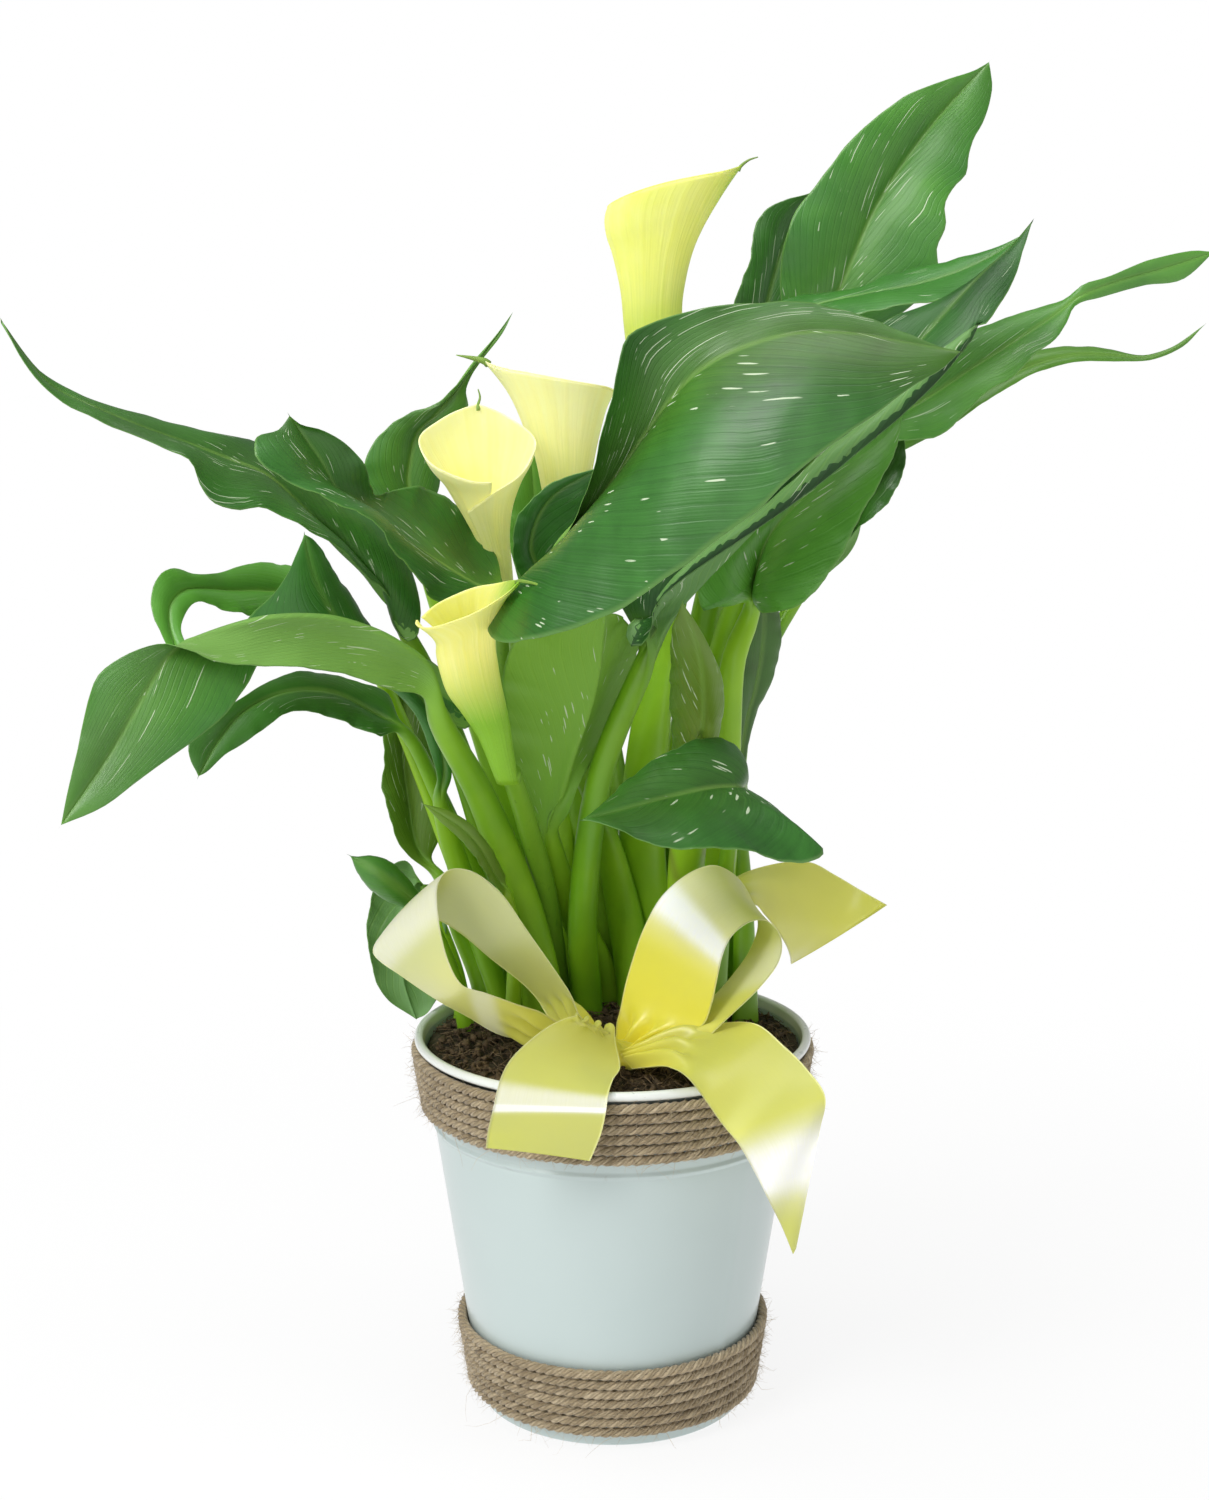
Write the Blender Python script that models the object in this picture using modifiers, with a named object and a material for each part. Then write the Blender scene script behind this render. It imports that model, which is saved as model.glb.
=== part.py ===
# Potted calla lily: yellow callas among their leaves, in an enamelled metal pot
# bound with jute twine, with a satin ribbon bow lying on the soil.
# Metres, +Z up. The origin is the centre of the pot's flat foot.

import math

import bmesh
import bpy
from mathutils import Vector

# Pot
POT_HEIGHT = 0.1405
POT_FOOT_RADIUS = 0.0500
POT_RIM_RADIUS = 0.0712
POT_WALL = 0.0012
RIM_ROLL = 0.0017
RIM_ROLL_FROM = 150
RIM_ROLL_TO = -110
RIM_ROLL_STEPS = 6
BEAD_HEIGHT = 0.1085
BEAD = 0.0008
SEGMENTS = 36

# Soil
SOIL_EDGE = 0.1320
SOIL_CROWN = 0.0080
SOIL_ROUGHNESS = 0.0011
SOIL_RINGS = 4
SOIL_BUMPS = (310, 270)
SOIL_RIDGES = (520, 410)

# Twine
TWINE_DIAMETER = 0.0039
TOP_BAND_BASE = 0.1140
TOP_BAND_TURNS = 6
FOOT_BAND_BASE = 0.0052
FOOT_BAND_TURNS = 7
TWINE_ARC = 60
TWINE_ARC_STEPS = 2

# Fits and finish
GAP = 0.0003
HOLE_SIDES = 8
CURVE_STEPS = 24
SHARP_EDGE = math.radians(50)

# Leaves
BLADE = 0.0007
RIB_AT_TIP = 0.0005
RIB_TAPER = 1.6
RIB_RIDGE = 0.8
RIPPLE_STARTS = (2.6, 0.9)
RIPPLE_END = 0.1
STALK_STATIONS = 4
BLADE_STATIONS = 10
ACROSS = (-1.0, -0.5, 0.0, 0.5, 1.0)
STALK_TURN = math.radians(72)
MERGE = 0.14
LOBE_FROM = 0.05
LOBE_TO = 0.40
PLAIN_SHAPE = (0.38, 1.05)

# Flowers
SPATHE = 0.0008
SPATHE_AROUND = 14
SPATHE_UP = 6
SPATHE_OVERLAP = math.radians(28)
SPATHE_SPIRAL = 0.0010
SPATHE_SINK = 0.0040
SPATHE_SWELL = 1.3
SPATHE_CROWDING = 0.85
RIM_SHARPNESS = 5
DROOP_SHARPNESS = 8
TIP_SHARE = 0.25
TIP_SHARPNESS = 1.5
STALK_SIDES = 10
FLOWER_STALK_STATIONS = 7
SPADIX_RADIUS = 0.0028
SPADIX_LENGTH = 0.030
SPADIX_RINGS = 10
FLORET_RELIEF = 0.0004
FLORET_ROWS = 5
FLORET_TURNS = 4.5
SPADIX_TAPER = 0.35
SPADIX_BLUNTNESS = 6

# Ribbon
RIBBON = 0.0006
RIBBON_STATIONS = 14

# Finishes: colour, roughness, metallic
FINISHES = {
    "enamel": ((0.79, 0.87, 0.88), 0.25, 0.0),
    "soil": ((0.055, 0.032, 0.02), 0.95, 0.0),
    "jute": ((0.42, 0.30, 0.17), 0.9, 0.0),
    "satin": ((0.90, 0.83, 0.36), 0.3, 0.0),
    "leaf": ((0.045, 0.16, 0.035), 0.35, 0.0),
    "stalk": ((0.20, 0.42, 0.04), 0.4, 0.0),
    "spathe": ((0.90, 0.78, 0.14), 0.45, 0.0),
    "spadix": ((0.93, 0.62, 0.10), 0.7, 0.0),
}

# Each leaf. stalk: points from inside the soil to the foot of the blade; rib: the rest of
# the midrib, to the tip. looks: the way the upper face looks, in the soil, at the foot of
# the blade, then evenly along it. fold and curl: how far the left and the right half are
# raised at the rib, and how much more at the margin, in degrees. wave: its height and count.
LEAVES = {
    "leaf_arch_left": {
        "stalk": [(-0.024, 0.012, 0.120), (-0.026, 0.010, 0.150), (-0.034, 0.002, 0.190),
                  (-0.047, -0.014, 0.232), (-0.062, -0.033, 0.266)],
        "rib": [(-0.073, -0.045, 0.285), (-0.080, -0.067, 0.297), (-0.098, -0.085, 0.304),
                (-0.118, -0.100, 0.303), (-0.135, -0.109, 0.298), (-0.144, -0.116, 0.287),
                (-0.155, -0.121, 0.271), (-0.171, -0.128, 0.247)],
        "half": 0.031, "radius": (0.0058, 0.0042), "shape": (0.50, 1.0),
        "looks": [(0.5, 0.8, 0), (0.5, 0.8, 0.3), (0.3, 0.9, -0.1), (0.1, 0.8, -0.6),
                  (0.0, 0.3, -1.0), (-0.3, -0.7, -0.5), (-0.4, -0.9, 0.1), (-0.4, -0.9, 0.2)],
        "fold": (25, 30), "curl": (5, 5), "wave": (0.0015, 2),
    },
    "leaf_long_left": {
        "stalk": [(-0.031, 0.046, 0.120), (-0.033, 0.046, 0.150), (-0.046, 0.036, 0.200),
                  (-0.060, 0.020, 0.250), (-0.072, 0.004, 0.283)],
        "rib": [(-0.080, -0.004, 0.303), (-0.098, -0.014, 0.329), (-0.117, -0.024, 0.347),
                (-0.143, -0.036, 0.360), (-0.170, -0.046, 0.375), (-0.185, -0.051, 0.387),
                (-0.200, -0.056, 0.401)],
        "half": 0.028, "radius": (0.0042, 0.0032), "shape": (0.30, 1.7), "lobe": (0.004, 0.024),
        "looks": [(0.5, -0.4, 0.3), (0.5, -0.8, 0.3), (0.2, -0.9, 0.4), (0.0, -0.8, 0.6),
                  (0.0, -0.8, 0.6)],
        "fold": (5, 35), "curl": (5, 25), "wave": (0.002, 2),
    },
    "leaf_upper_left": {
        "stalk": [(-0.017, 0.047, 0.120), (-0.019, 0.047, 0.150), (-0.030, 0.042, 0.215),
                  (-0.040, 0.018, 0.265), (-0.049, -0.012, 0.301)],
        "rib": [(-0.060, -0.030, 0.318), (-0.075, -0.040, 0.336), (-0.091, -0.046, 0.352),
                (-0.106, -0.050, 0.370)],
        "half": (0.025, 0.019), "radius": (0.0040, 0.0030),
        "looks": [(0.3, 0.3, 0), (0.5, 0.2, 0.8), (0.5, -0.1, 0.9), (0.5, 0.2, 0.8)],
        "fold": (55, 40), "curl": (15, 25), "wave": (0.0015, 2),
    },
    "leaf_twist_left": {
        "stalk": [(-0.041, 0.033, 0.120), (-0.044, 0.034, 0.150), (-0.062, 0.042, 0.200),
                  (-0.080, 0.038, 0.250), (-0.095, 0.024, 0.286)],
        "rib": [(-0.112, 0.008, 0.306), (-0.130, -0.008, 0.314), (-0.146, -0.022, 0.312),
                (-0.154, -0.034, 0.300), (-0.153, -0.040, 0.284)],
        "half": 0.016, "radius": (0.0038, 0.0024), "shape": (0.50, 1.0),
        "looks": [(0.5, -0.2, 0.2), (0.3, -0.8, 0.4), (0.0, -0.9, 0.5), (-0.4, -0.6, 0.7),
                  (-0.9, -0.4, 0.2)],
        "fold": (20, 30), "curl": (10, 15), "wave": (0.001, 2),
    },
    "leaf_peak_left": {
        "stalk": [(-0.040, 0.016, 0.120), (-0.043, 0.015, 0.150), (-0.054, 0.012, 0.190),
                  (-0.063, 0.005, 0.225)],
        "rib": [(-0.073, -0.008, 0.251), (-0.077, -0.016, 0.268), (-0.084, -0.024, 0.289),
                (-0.095, -0.032, 0.309), (-0.105, -0.038, 0.328)],
        "half": 0.034, "radius": (0.0040, 0.0028), "shape": (0.50, 0.9),
        "looks": [(0.4, 0.3, 0.2), (0.0, -0.9, 0.4), (-0.1, -0.9, 0.2), (-0.1, -0.9, 0.1)],
        "fold": (5, -60), "curl": (0, -30), "wave": (0.001, 1),
    },
    "leaf_low_left": {
        "stalk": [(-0.031, 0.028, 0.120), (-0.034, 0.029, 0.150), (-0.052, 0.030, 0.192),
                  (-0.066, 0.027, 0.226), (-0.076, 0.021, 0.248)],
        "rib": [(-0.084, 0.016, 0.261), (-0.096, 0.007, 0.268), (-0.111, -0.005, 0.272),
                (-0.126, -0.019, 0.268), (-0.136, -0.030, 0.258), (-0.143, -0.040, 0.246)],
        "half": 0.019, "radius": (0.0040, 0.0024),
        "looks": [(0.4, 0.2, 0.2), (0.0, -0.4, 0.8), (0.0, -0.5, 0.8), (-0.3, 0.2, 0.8),
                  (-0.5, 0.8, 0.4), (-0.5, 0.9, 0.3)],
        "fold": (10, 15), "curl": (10, 10), "wave": (0.001, 2),
    },
    "leaf_behind_left": {
        "stalk": [(-0.047, 0.040, 0.120), (-0.049, 0.041, 0.145), (-0.059, 0.046, 0.168),
                  (-0.066, 0.048, 0.186)],
        "rib": [(-0.070, 0.050, 0.206), (-0.074, 0.052, 0.236), (-0.079, 0.052, 0.262),
                (-0.084, 0.050, 0.290)],
        "half": 0.022, "radius": (0.0038, 0.0026), "lobe": (0.010, 0.0),
        "looks": [(0.3, -0.8, 0), (0.2, -0.9, 0), (0.0, -0.9, 0.0), (0.0, -0.9, 0.1)],
        "fold": (5, 30), "curl": (5, 10), "wave": (0.0015, 3),
    },
    "leaf_rolled_left": {
        "stalk": [(-0.054, 0.010, 0.120), (-0.055, 0.010, 0.140), (-0.061, 0.009, 0.163),
                  (-0.068, 0.006, 0.181)],
        "rib": [(-0.077, 0.003, 0.192), (-0.086, -0.001, 0.201), (-0.094, -0.004, 0.208)],
        "half": 0.009, "radius": (0.0030, 0.0020),
        "looks": [(0.5, 0.3, 0.2), (0.5, 0.2, 0.8), (0.5, 0.1, 0.8)],
        "fold": (50, 50), "curl": (40, 40), "wave": (0.0, 1),
    },
    "leaf_hanging_left": {
        "stalk": [(-0.055, 0.026, 0.120), (-0.057, 0.028, 0.145), (-0.064, 0.030, 0.168),
                  (-0.071, 0.032, 0.184)],
        "rib": [(-0.078, 0.033, 0.190), (-0.083, 0.036, 0.180), (-0.080, 0.043, 0.161),
                (-0.071, 0.047, 0.138)],
        "half": 0.014, "radius": (0.0030, 0.0020),
        "looks": [(0.2, -0.5, 0.2), (-0.1, -0.6, 0.8), (-0.6, -0.7, 0.3), (-0.5, -0.8, 0.0)],
        "fold": (10, 10), "curl": (5, 5), "wave": (0.001, 2),
    },
    "leaf_narrow_front": {
        "stalk": [(-0.037, 0.002, 0.120), (-0.037, 0.001, 0.145), (-0.036, -0.003, 0.175),
                  (-0.039, -0.010, 0.195)],
        "rib": [(-0.045, -0.018, 0.212), (-0.053, -0.026, 0.224), (-0.066, -0.034, 0.234)],
        "half": 0.0065, "radius": (0.0028, 0.0020),
        "looks": [(0.6, -0.3, 0.2), (0.6, -0.6, 0.4), (0.4, -0.7, 0.6)],
        "fold": (30, 30), "curl": (10, 10), "wave": (0.0, 1),
    },
    "leaf_back_left": {
        "stalk": [(-0.025, 0.056, 0.120), (-0.028, 0.058, 0.150), (-0.046, 0.066, 0.225),
                  (-0.064, 0.067, 0.280), (-0.075, 0.067, 0.320)],
        "rib": [(-0.076, 0.067, 0.346), (-0.069, 0.066, 0.365), (-0.054, 0.064, 0.382),
                (-0.038, 0.060, 0.401)],
        "half": 0.022, "radius": (0.0038, 0.0026), "shape": (0.34, 1.4),
        "looks": [(0.3, -0.8, 0), (0.3, -0.9, 0), (0.2, -0.9, 0.2), (0.2, -0.9, 0.3)],
        "fold": (15, 30), "curl": (15, 15), "wave": (0.001, 2),
    },
    "leaf_bright_centre": {
        "stalk": [(-0.021, 0.037, 0.120), (-0.021, 0.036, 0.150), (-0.020, 0.036, 0.200),
                  (-0.021, 0.042, 0.240), (-0.026, 0.047, 0.285)],
        "rib": [(-0.028, 0.046, 0.312), (-0.029, 0.045, 0.334), (-0.031, 0.044, 0.352)],
        "half": 0.008, "radius": (0.0032, 0.0024),
        "looks": [(-0.2, -0.8, 0), (-0.2, -0.9, 0), (-0.4, -0.8, 0.1)],
        "fold": (20, 20), "curl": (10, 10), "wave": (0.0, 1),
    },
    "leaf_pale_centre": {
        "stalk": [(-0.002, 0.036, 0.120), (-0.004, 0.035, 0.150), (-0.015, 0.024, 0.180),
                  (-0.023, 0.008, 0.212)],
        "rib": [(-0.019, -0.004, 0.236), (-0.012, -0.014, 0.256), (-0.002, -0.023, 0.274),
                (0.008, -0.029, 0.290)],
        "half": (0.010, 0.030), "radius": (0.0045, 0.0036),
        "looks": [(0.3, 0.8, 0), (0.2, 0.8, 0), (0.1, 0.9, 0.1), (0.1, 0.9, 0.2)],
        "fold": (15, 0), "curl": (10, 0), "wave": (0.001, 2),
    },
    "leaf_dark_centre": {
        "stalk": [(-0.005, 0.048, 0.120), (-0.006, 0.046, 0.150), (-0.011, 0.036, 0.220),
                  (-0.019, 0.020, 0.275), (-0.021, 0.008, 0.300)],
        "rib": [(-0.019, 0.000, 0.316), (-0.015, -0.006, 0.332), (-0.006, -0.009, 0.348)],
        "half": (0.009, 0.012), "radius": (0.0036, 0.0026),
        "looks": [(-0.3, -0.8, 0), (-0.4, -0.8, 0.1), (-0.4, -0.8, 0.3), (-0.4, -0.8, 0.3)],
        "fold": (10, 30), "curl": (0, 20), "wave": (0.0, 1),
    },
    "leaf_top_right": {
        "stalk": [(0.021, 0.058, 0.120), (0.022, 0.057, 0.150), (0.026, 0.054, 0.220),
                  (0.038, 0.053, 0.300), (0.056, 0.052, 0.362)],
        "rib": [(0.072, 0.052, 0.387), (0.083, 0.052, 0.402), (0.092, 0.053, 0.418),
                (0.103, 0.055, 0.436), (0.115, 0.056, 0.455), (0.127, 0.056, 0.473),
                (0.137, 0.054, 0.491)],
        "half": 0.034, "radius": (0.0042, 0.0032), "shape": (0.42, 0.9),
        "looks": [(-0.3, -0.8, 0), (-0.2, -0.9, 0.1), (-0.2, -0.9, 0.2), (-0.2, -0.9, 0.2)],
        "fold": (12, 25), "curl": (8, 10), "wave": (0.002, 3),
    },
    "leaf_top_right_rear": {
        "stalk": [(0.032, 0.054, 0.120), (0.032, 0.054, 0.150), (0.034, 0.070, 0.230),
                  (0.040, 0.080, 0.310), (0.047, 0.085, 0.364)],
        "rib": [(0.052, 0.087, 0.390), (0.057, 0.088, 0.405), (0.061, 0.090, 0.419),
                (0.066, 0.090, 0.432), (0.075, 0.088, 0.447)],
        "half": 0.018, "radius": (0.0032, 0.0024),
        "looks": [(-0.2, -0.9, 0), (-0.3, -0.9, 0), (-0.3, -0.9, 0.1), (-0.3, -0.9, 0.2)],
        "fold": (10, 25), "curl": (5, 5), "wave": (0.001, 2),
    },
    "leaf_long_right": {
        "stalk": [(-0.008, 0.024, 0.120), (-0.010, 0.020, 0.150), (-0.011, 0.008, 0.186),
                  (-0.003, 0.001, 0.235), (0.011, -0.003, 0.273)],
        "rib": [(0.024, -0.008, 0.295), (0.043, -0.014, 0.321), (0.065, -0.018, 0.347),
                (0.085, -0.018, 0.370), (0.108, -0.014, 0.397), (0.125, -0.010, 0.415),
                (0.144, -0.008, 0.433)],
        "half": 0.032, "radius": (0.0062, 0.0042), "shape": (0.45, 0.95),
        "looks": [(0.3, -0.8, 0.2), (0.0, -0.9, 0.3), (-0.2, -0.9, 0.4), (-0.2, -0.9, 0.4)],
        "fold": (25, 15), "curl": (20, 60), "wave": (0.0015, 3),
    },
    "leaf_upper_right": {
        "stalk": [(0.020, 0.032, 0.120), (0.020, 0.031, 0.150), (0.022, 0.030, 0.200),
                  (0.030, 0.029, 0.270), (0.042, 0.028, 0.345)],
        "rib": [(0.053, 0.027, 0.381), (0.068, 0.026, 0.398), (0.088, 0.024, 0.406),
                (0.113, 0.020, 0.415), (0.142, 0.016, 0.427)],
        "half": 0.018, "radius": (0.0044, 0.0032),
        "looks": [(-0.3, -0.8, 0), (-0.3, -0.8, 0.2), (-0.2, -0.6, 0.8), (-0.2, -0.6, 0.8)],
        "fold": (20, 20), "curl": (10, 10), "wave": (0.001, 2),
    },
    "leaf_front_right": {
        "stalk": [(0.010, 0.026, 0.120), (0.009, 0.027, 0.150), (0.002, 0.026, 0.190),
                  (-0.010, 0.019, 0.235), (-0.020, 0.000, 0.266), (-0.023, -0.024, 0.289),
                  (-0.020, -0.041, 0.306)],
        "rib": [(-0.018, -0.054, 0.322), (-0.004, -0.062, 0.344), (0.011, -0.070, 0.362),
                (0.024, -0.078, 0.379), (0.041, -0.084, 0.391), (0.058, -0.090, 0.398),
                (0.083, -0.094, 0.399), (0.111, -0.098, 0.392)],
        "half": (0.020, 0.041), "radius": (0.0046, 0.0036), "shape": (0.40, 0.85), "lobe": (0.0, 0.032),
        "looks": [(-0.2, -0.8, 0), (-0.3, -0.9, 0.1), (-0.2, -0.9, 0.3), (0.0, -0.9, 0.5),
                  (0.0, -0.8, 0.6)],
        "fold": ([55, 50, 35, 20, 10], 4), "curl": (0, 5), "wave": (0.0012, 2),
    },
    "leaf_far_right": {
        "stalk": [(0.026, 0.047, 0.120), (0.027, 0.046, 0.150), (0.032, 0.044, 0.220),
                  (0.048, 0.044, 0.290), (0.072, 0.044, 0.335)],
        "rib": [(0.098, 0.046, 0.362), (0.124, 0.050, 0.380), (0.150, 0.054, 0.396),
                (0.176, 0.056, 0.407), (0.198, 0.056, 0.415), (0.222, 0.054, 0.422)],
        "half": 0.021, "radius": (0.0042, 0.0030),
        "looks": [(-0.3, -0.8, 0.2), (-0.3, -0.8, 0.5), (-0.2, -0.8, 0.6), (-0.1, -0.8, 0.4),
                  (-0.1, 0.2, 0.9)],
        "fold": (15, 25), "curl": (10, 15), "wave": (0.0015, 3),
    },
    "leaf_far_right_low": {
        "stalk": [(0.042, 0.040, 0.120), (0.044, 0.042, 0.150), (0.050, 0.056, 0.230),
                  (0.070, 0.070, 0.300), (0.095, 0.080, 0.340)],
        "rib": [(0.120, 0.088, 0.360), (0.145, 0.094, 0.374), (0.168, 0.098, 0.382),
                (0.190, 0.100, 0.384), (0.210, 0.100, 0.385), (0.230, 0.100, 0.395)],
        "half": 0.016, "radius": (0.0038, 0.0026),
        "looks": [(-0.3, -0.8, 0.2), (-0.3, -0.8, 0.5), (-0.2, -0.8, 0.6), (-0.1, -0.8, 0.6)],
        "fold": (15, 25), "curl": (10, 10), "wave": (0.001, 3),
    },
    "leaf_broad_right": {
        "stalk": [(0.034, 0.026, 0.120), (0.035, 0.025, 0.150), (0.040, 0.022, 0.200),
                  (0.045, 0.018, 0.250), (0.051, 0.013, 0.286)],
        "rib": [(0.056, 0.010, 0.304), (0.067, 0.008, 0.321), (0.080, 0.008, 0.337),
                (0.095, 0.012, 0.353), (0.109, 0.018, 0.370)],
        "half": 0.029, "radius": (0.0046, 0.0034), "lobe": (0.0, 0.014),
        "looks": [(-0.3, -0.8, 0), (-0.3, -0.8, 0.4), (-0.2, -0.8, 0.5), (-0.2, -0.8, 0.4)],
        "fold": (10, 8), "curl": (10, 5), "wave": (0.0015, 3),
    },
    "leaf_rear_right": {
        "stalk": [(0.050, 0.028, 0.120), (0.051, 0.030, 0.150), (0.054, 0.040, 0.200),
                  (0.062, 0.050, 0.256), (0.074, 0.054, 0.296)],
        "rib": [(0.086, 0.055, 0.316), (0.097, 0.055, 0.334), (0.106, 0.055, 0.352)],
        "half": 0.018, "radius": (0.0036, 0.0026),
        "looks": [(-0.3, -0.8, 0), (-0.3, -0.9, 0.2), (-0.2, -0.9, 0.2)],
        "fold": (10, 10), "curl": (5, 5), "wave": (0.001, 2),
    },
    "leaf_upright_right": {
        "stalk": [(0.050, 0.014, 0.120), (0.050, 0.017, 0.150), (0.049, 0.024, 0.190),
                  (0.047, 0.028, 0.222)],
        "rib": [(0.049, 0.030, 0.238), (0.055, 0.031, 0.256), (0.060, 0.031, 0.275),
                (0.060, 0.030, 0.296)],
        "half": 0.013, "radius": (0.0032, 0.0024),
        "looks": [(0.3, -0.8, 0), (0.2, -0.9, 0), (0.0, -0.9, 0.0), (0.0, -0.9, 0.0)],
        "fold": (10, 10), "curl": (5, 5), "wave": (0.001, 2),
    },
    "leaf_folded_centre": {
        "stalk": [(0.024, 0.014, 0.120), (0.024, 0.013, 0.150), (0.027, 0.005, 0.200),
                  (0.030, -0.012, 0.248)],
        "rib": [(0.032, -0.024, 0.268), (0.029, -0.034, 0.286), (0.026, -0.041, 0.300),
                (0.030, -0.045, 0.311)],
        "half": (0.015, 0.010), "radius": (0.0044, 0.0036),
        "looks": [(0.5, 0.6, 0), (0.6, 0.5, 0.1), (0.7, 0.4, 0.1), (0.7, 0.4, 0.1)],
        "fold": (30, 20), "curl": (10, 10), "wave": (0.001, 2),
    },
    "leaf_small_front": {
        "stalk": [(0.038, 0.010, 0.120), (0.037, 0.008, 0.150), (0.039, 0.005, 0.178),
                  (0.042, -0.008, 0.212), (0.045, -0.027, 0.236)],
        "rib": [(0.043, -0.042, 0.2445), (0.029, -0.056, 0.247), (0.014, -0.066, 0.245),
                (0.001, -0.072, 0.241), (-0.010, -0.076, 0.238)],
        "half": (0.031, 0.024), "radius": (0.0034, 0.0028), "shape": (0.36, 1.0), "lobe": (0.036, 0.002),
        "looks": [(-0.3, -0.8, 0.3), (-0.2, -0.8, 0.6), (-0.1, -0.8, 0.6), (0.0, -0.8, 0.6)],
        "fold": (5, 10), "curl": (0, 5), "wave": (0.0015, 2),
    },
}

# Each flower. stalk: points from inside the soil to its top; mouth: the centre of the
# spathe's mouth; tip: the way its pointed tip leans; widths: radius at the foot and at
# the mouth; rise: height of the tip's side over the front; flare: how far the rim turns out.
FLOWERS = {
    "flower_top": {
        "stalk": [(0.006, 0.058, 0.120), (0.007, 0.057, 0.150), (0.013, 0.048, 0.230),
                  (0.015, 0.036, 0.300), (0.015, 0.027, 0.350)],
        "mouth": (0.019, 0.018, 0.450), "tip": (0.95, 0.0, 0.2), "widths": (0.0056, 0.0175),
        "rise": 0.021, "flare": 0.005, "point": 0.012,
    },
    "flower_face": {
        "stalk": [(-0.012, 0.058, 0.120), (-0.015, 0.058, 0.150), (-0.033, 0.054, 0.225),
                  (-0.040, 0.040, 0.265), (-0.040, 0.022, 0.292)],
        "mouth": (-0.046, -0.008, 0.354), "tip": (0.0, 0.5, 0.9), "widths": (0.0056, 0.0165),
        "rise": 0.010, "flare": 0.006, "point": 0.006,
    },
    "flower_side": {
        "stalk": [(0.010, 0.042, 0.120), (0.010, 0.042, 0.150), (0.001, 0.042, 0.230),
                  (-0.010, 0.036, 0.280), (-0.017, 0.030, 0.314)],
        "mouth": (-0.020, 0.024, 0.377), "tip": (-0.95, -0.1, 0.2), "widths": (0.0056, 0.0175),
        "rise": 0.010, "flare": 0.005, "point": 0.016,
    },
    "flower_front": {
        "stalk": [(-0.020, 0.027, 0.120), (-0.021, 0.026, 0.150), (-0.025, 0.012, 0.190),
                  (-0.031, -0.010, 0.222), (-0.036, -0.027, 0.244)],
        "mouth": (-0.045, -0.055, 0.303), "tip": (0.9, -0.1, 0.4), "widths": (0.0056, 0.0125),
        "rise": 0.012, "flare": 0.006, "point": 0.006,
    },
}
STALK_RADII = (0.0042, 0.0034)

# Each ribbon piece: route, the way it lies across, and its width along the route.
RIBBONS = {
    "ribbon_loop_left": {
        "route": [(-0.0069, -0.0391, 0.1478), (-0.0092, -0.0394, 0.1517), (-0.021, -0.040, 0.168),
                  (-0.038, -0.036, 0.190), (-0.056, -0.029, 0.199), (-0.073, -0.031, 0.190),
                  (-0.084, -0.036, 0.177), (-0.067, -0.046, 0.164), (-0.038, -0.049, 0.153),
                  (-0.0150, -0.0410, 0.1458), (-0.0084, -0.0394, 0.1444)],
        "across": [(-0.3, 0.9, 0.2), (-0.4, 0.8, 0.4), (-0.3, 0.8, 0.4), (0.0, 0.9, 0.3),
                   (0.2, 0.9, 0.3), (0.0, 0.9, 0.4), (0.0, 0.9, 0.4)],
        "widths": [0.009, 0.028, 0.035, 0.036, 0.035, 0.028, 0.009],
    },
    "ribbon_loop_right": {
        "route": [(0.0086, -0.0385, 0.1476), (0.0108, -0.0387, 0.1512), (0.016, -0.040, 0.168),
                  (0.025, -0.038, 0.188), (0.041, -0.033, 0.196), (0.054, -0.034, 0.188),
                  (0.056, -0.039, 0.175), (0.044, -0.043, 0.164), (0.028, -0.0425, 0.1545),
                  (0.0170, -0.0418, 0.1463), (0.0104, -0.0405, 0.1446)],
        "across": [(0.7, -0.6, -0.3), (0.8, -0.5, -0.4), (0.8, -0.5, -0.4), (0.7, -0.6, -0.3)],
        "widths": [0.009, 0.032, 0.039, 0.038, 0.028, 0.009],
    },
    "ribbon_tail_front_left": {
        "route": [(-0.0038, -0.0462, 0.1445), (-0.0065, -0.0505, 0.1475), (-0.011, -0.059, 0.154),
                  (-0.016, -0.070, 0.157), (-0.019, -0.080, 0.152), (-0.021, -0.084, 0.139),
                  (-0.023, -0.086, 0.125)],
        "across": [(0.86, -0.4, 0.1), (0.95, -0.1, 0.1), (0.98, -0.1, 0.0)],
        "widths": [0.008, 0.036, 0.040, 0.038],
    },
    "ribbon_tail_front_right": {
        "route": [(0.0060, -0.0466, 0.1443), (0.0090, -0.0505, 0.1460), (0.020, -0.060, 0.1490),
                  (0.034, -0.071, 0.1515), (0.047, -0.083, 0.144), (0.055, -0.089, 0.130),
                  (0.061, -0.089, 0.110), (0.063, -0.085, 0.092)],
        "across": [(0.8, 0.4, 0.2), (0.9, 0.3, 0.2), (0.95, -0.2, 0.1), (0.95, -0.3, 0.1)],
        "widths": [0.008, 0.032, 0.040, 0.030, 0.010],
    },
    "ribbon_tail_back": {
        "route": [(0.0045, -0.0290, 0.1444), (0.0072, -0.0245, 0.1475), (0.022, -0.019, 0.166),
                  (0.044, -0.012, 0.187), (0.066, -0.002, 0.193), (0.079, 0.004, 0.187),
                  (0.086, 0.006, 0.176)],
        "across": [(0.9, -0.3, -0.3), (0.3, -0.3, -0.9), (-0.3, -0.1, -0.9), (-0.85, 0.0, -0.53)],
        "widths": [0.008, 0.032, 0.040, 0.040],
    },
}
KNOT_CENTRE = (0.001, -0.038, 0.1437)
KNOT_SIZE = (0.0095, 0.0095, 0.0055)
KNOT_SEGMENTS = (16, 8)


def clear_scene():
    for thing in list(bpy.data.objects):
        bpy.data.objects.remove(thing)


def new_collection(name):
    group = bpy.data.collections.new(name)
    bpy.context.scene.collection.children.link(group)
    return group


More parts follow.
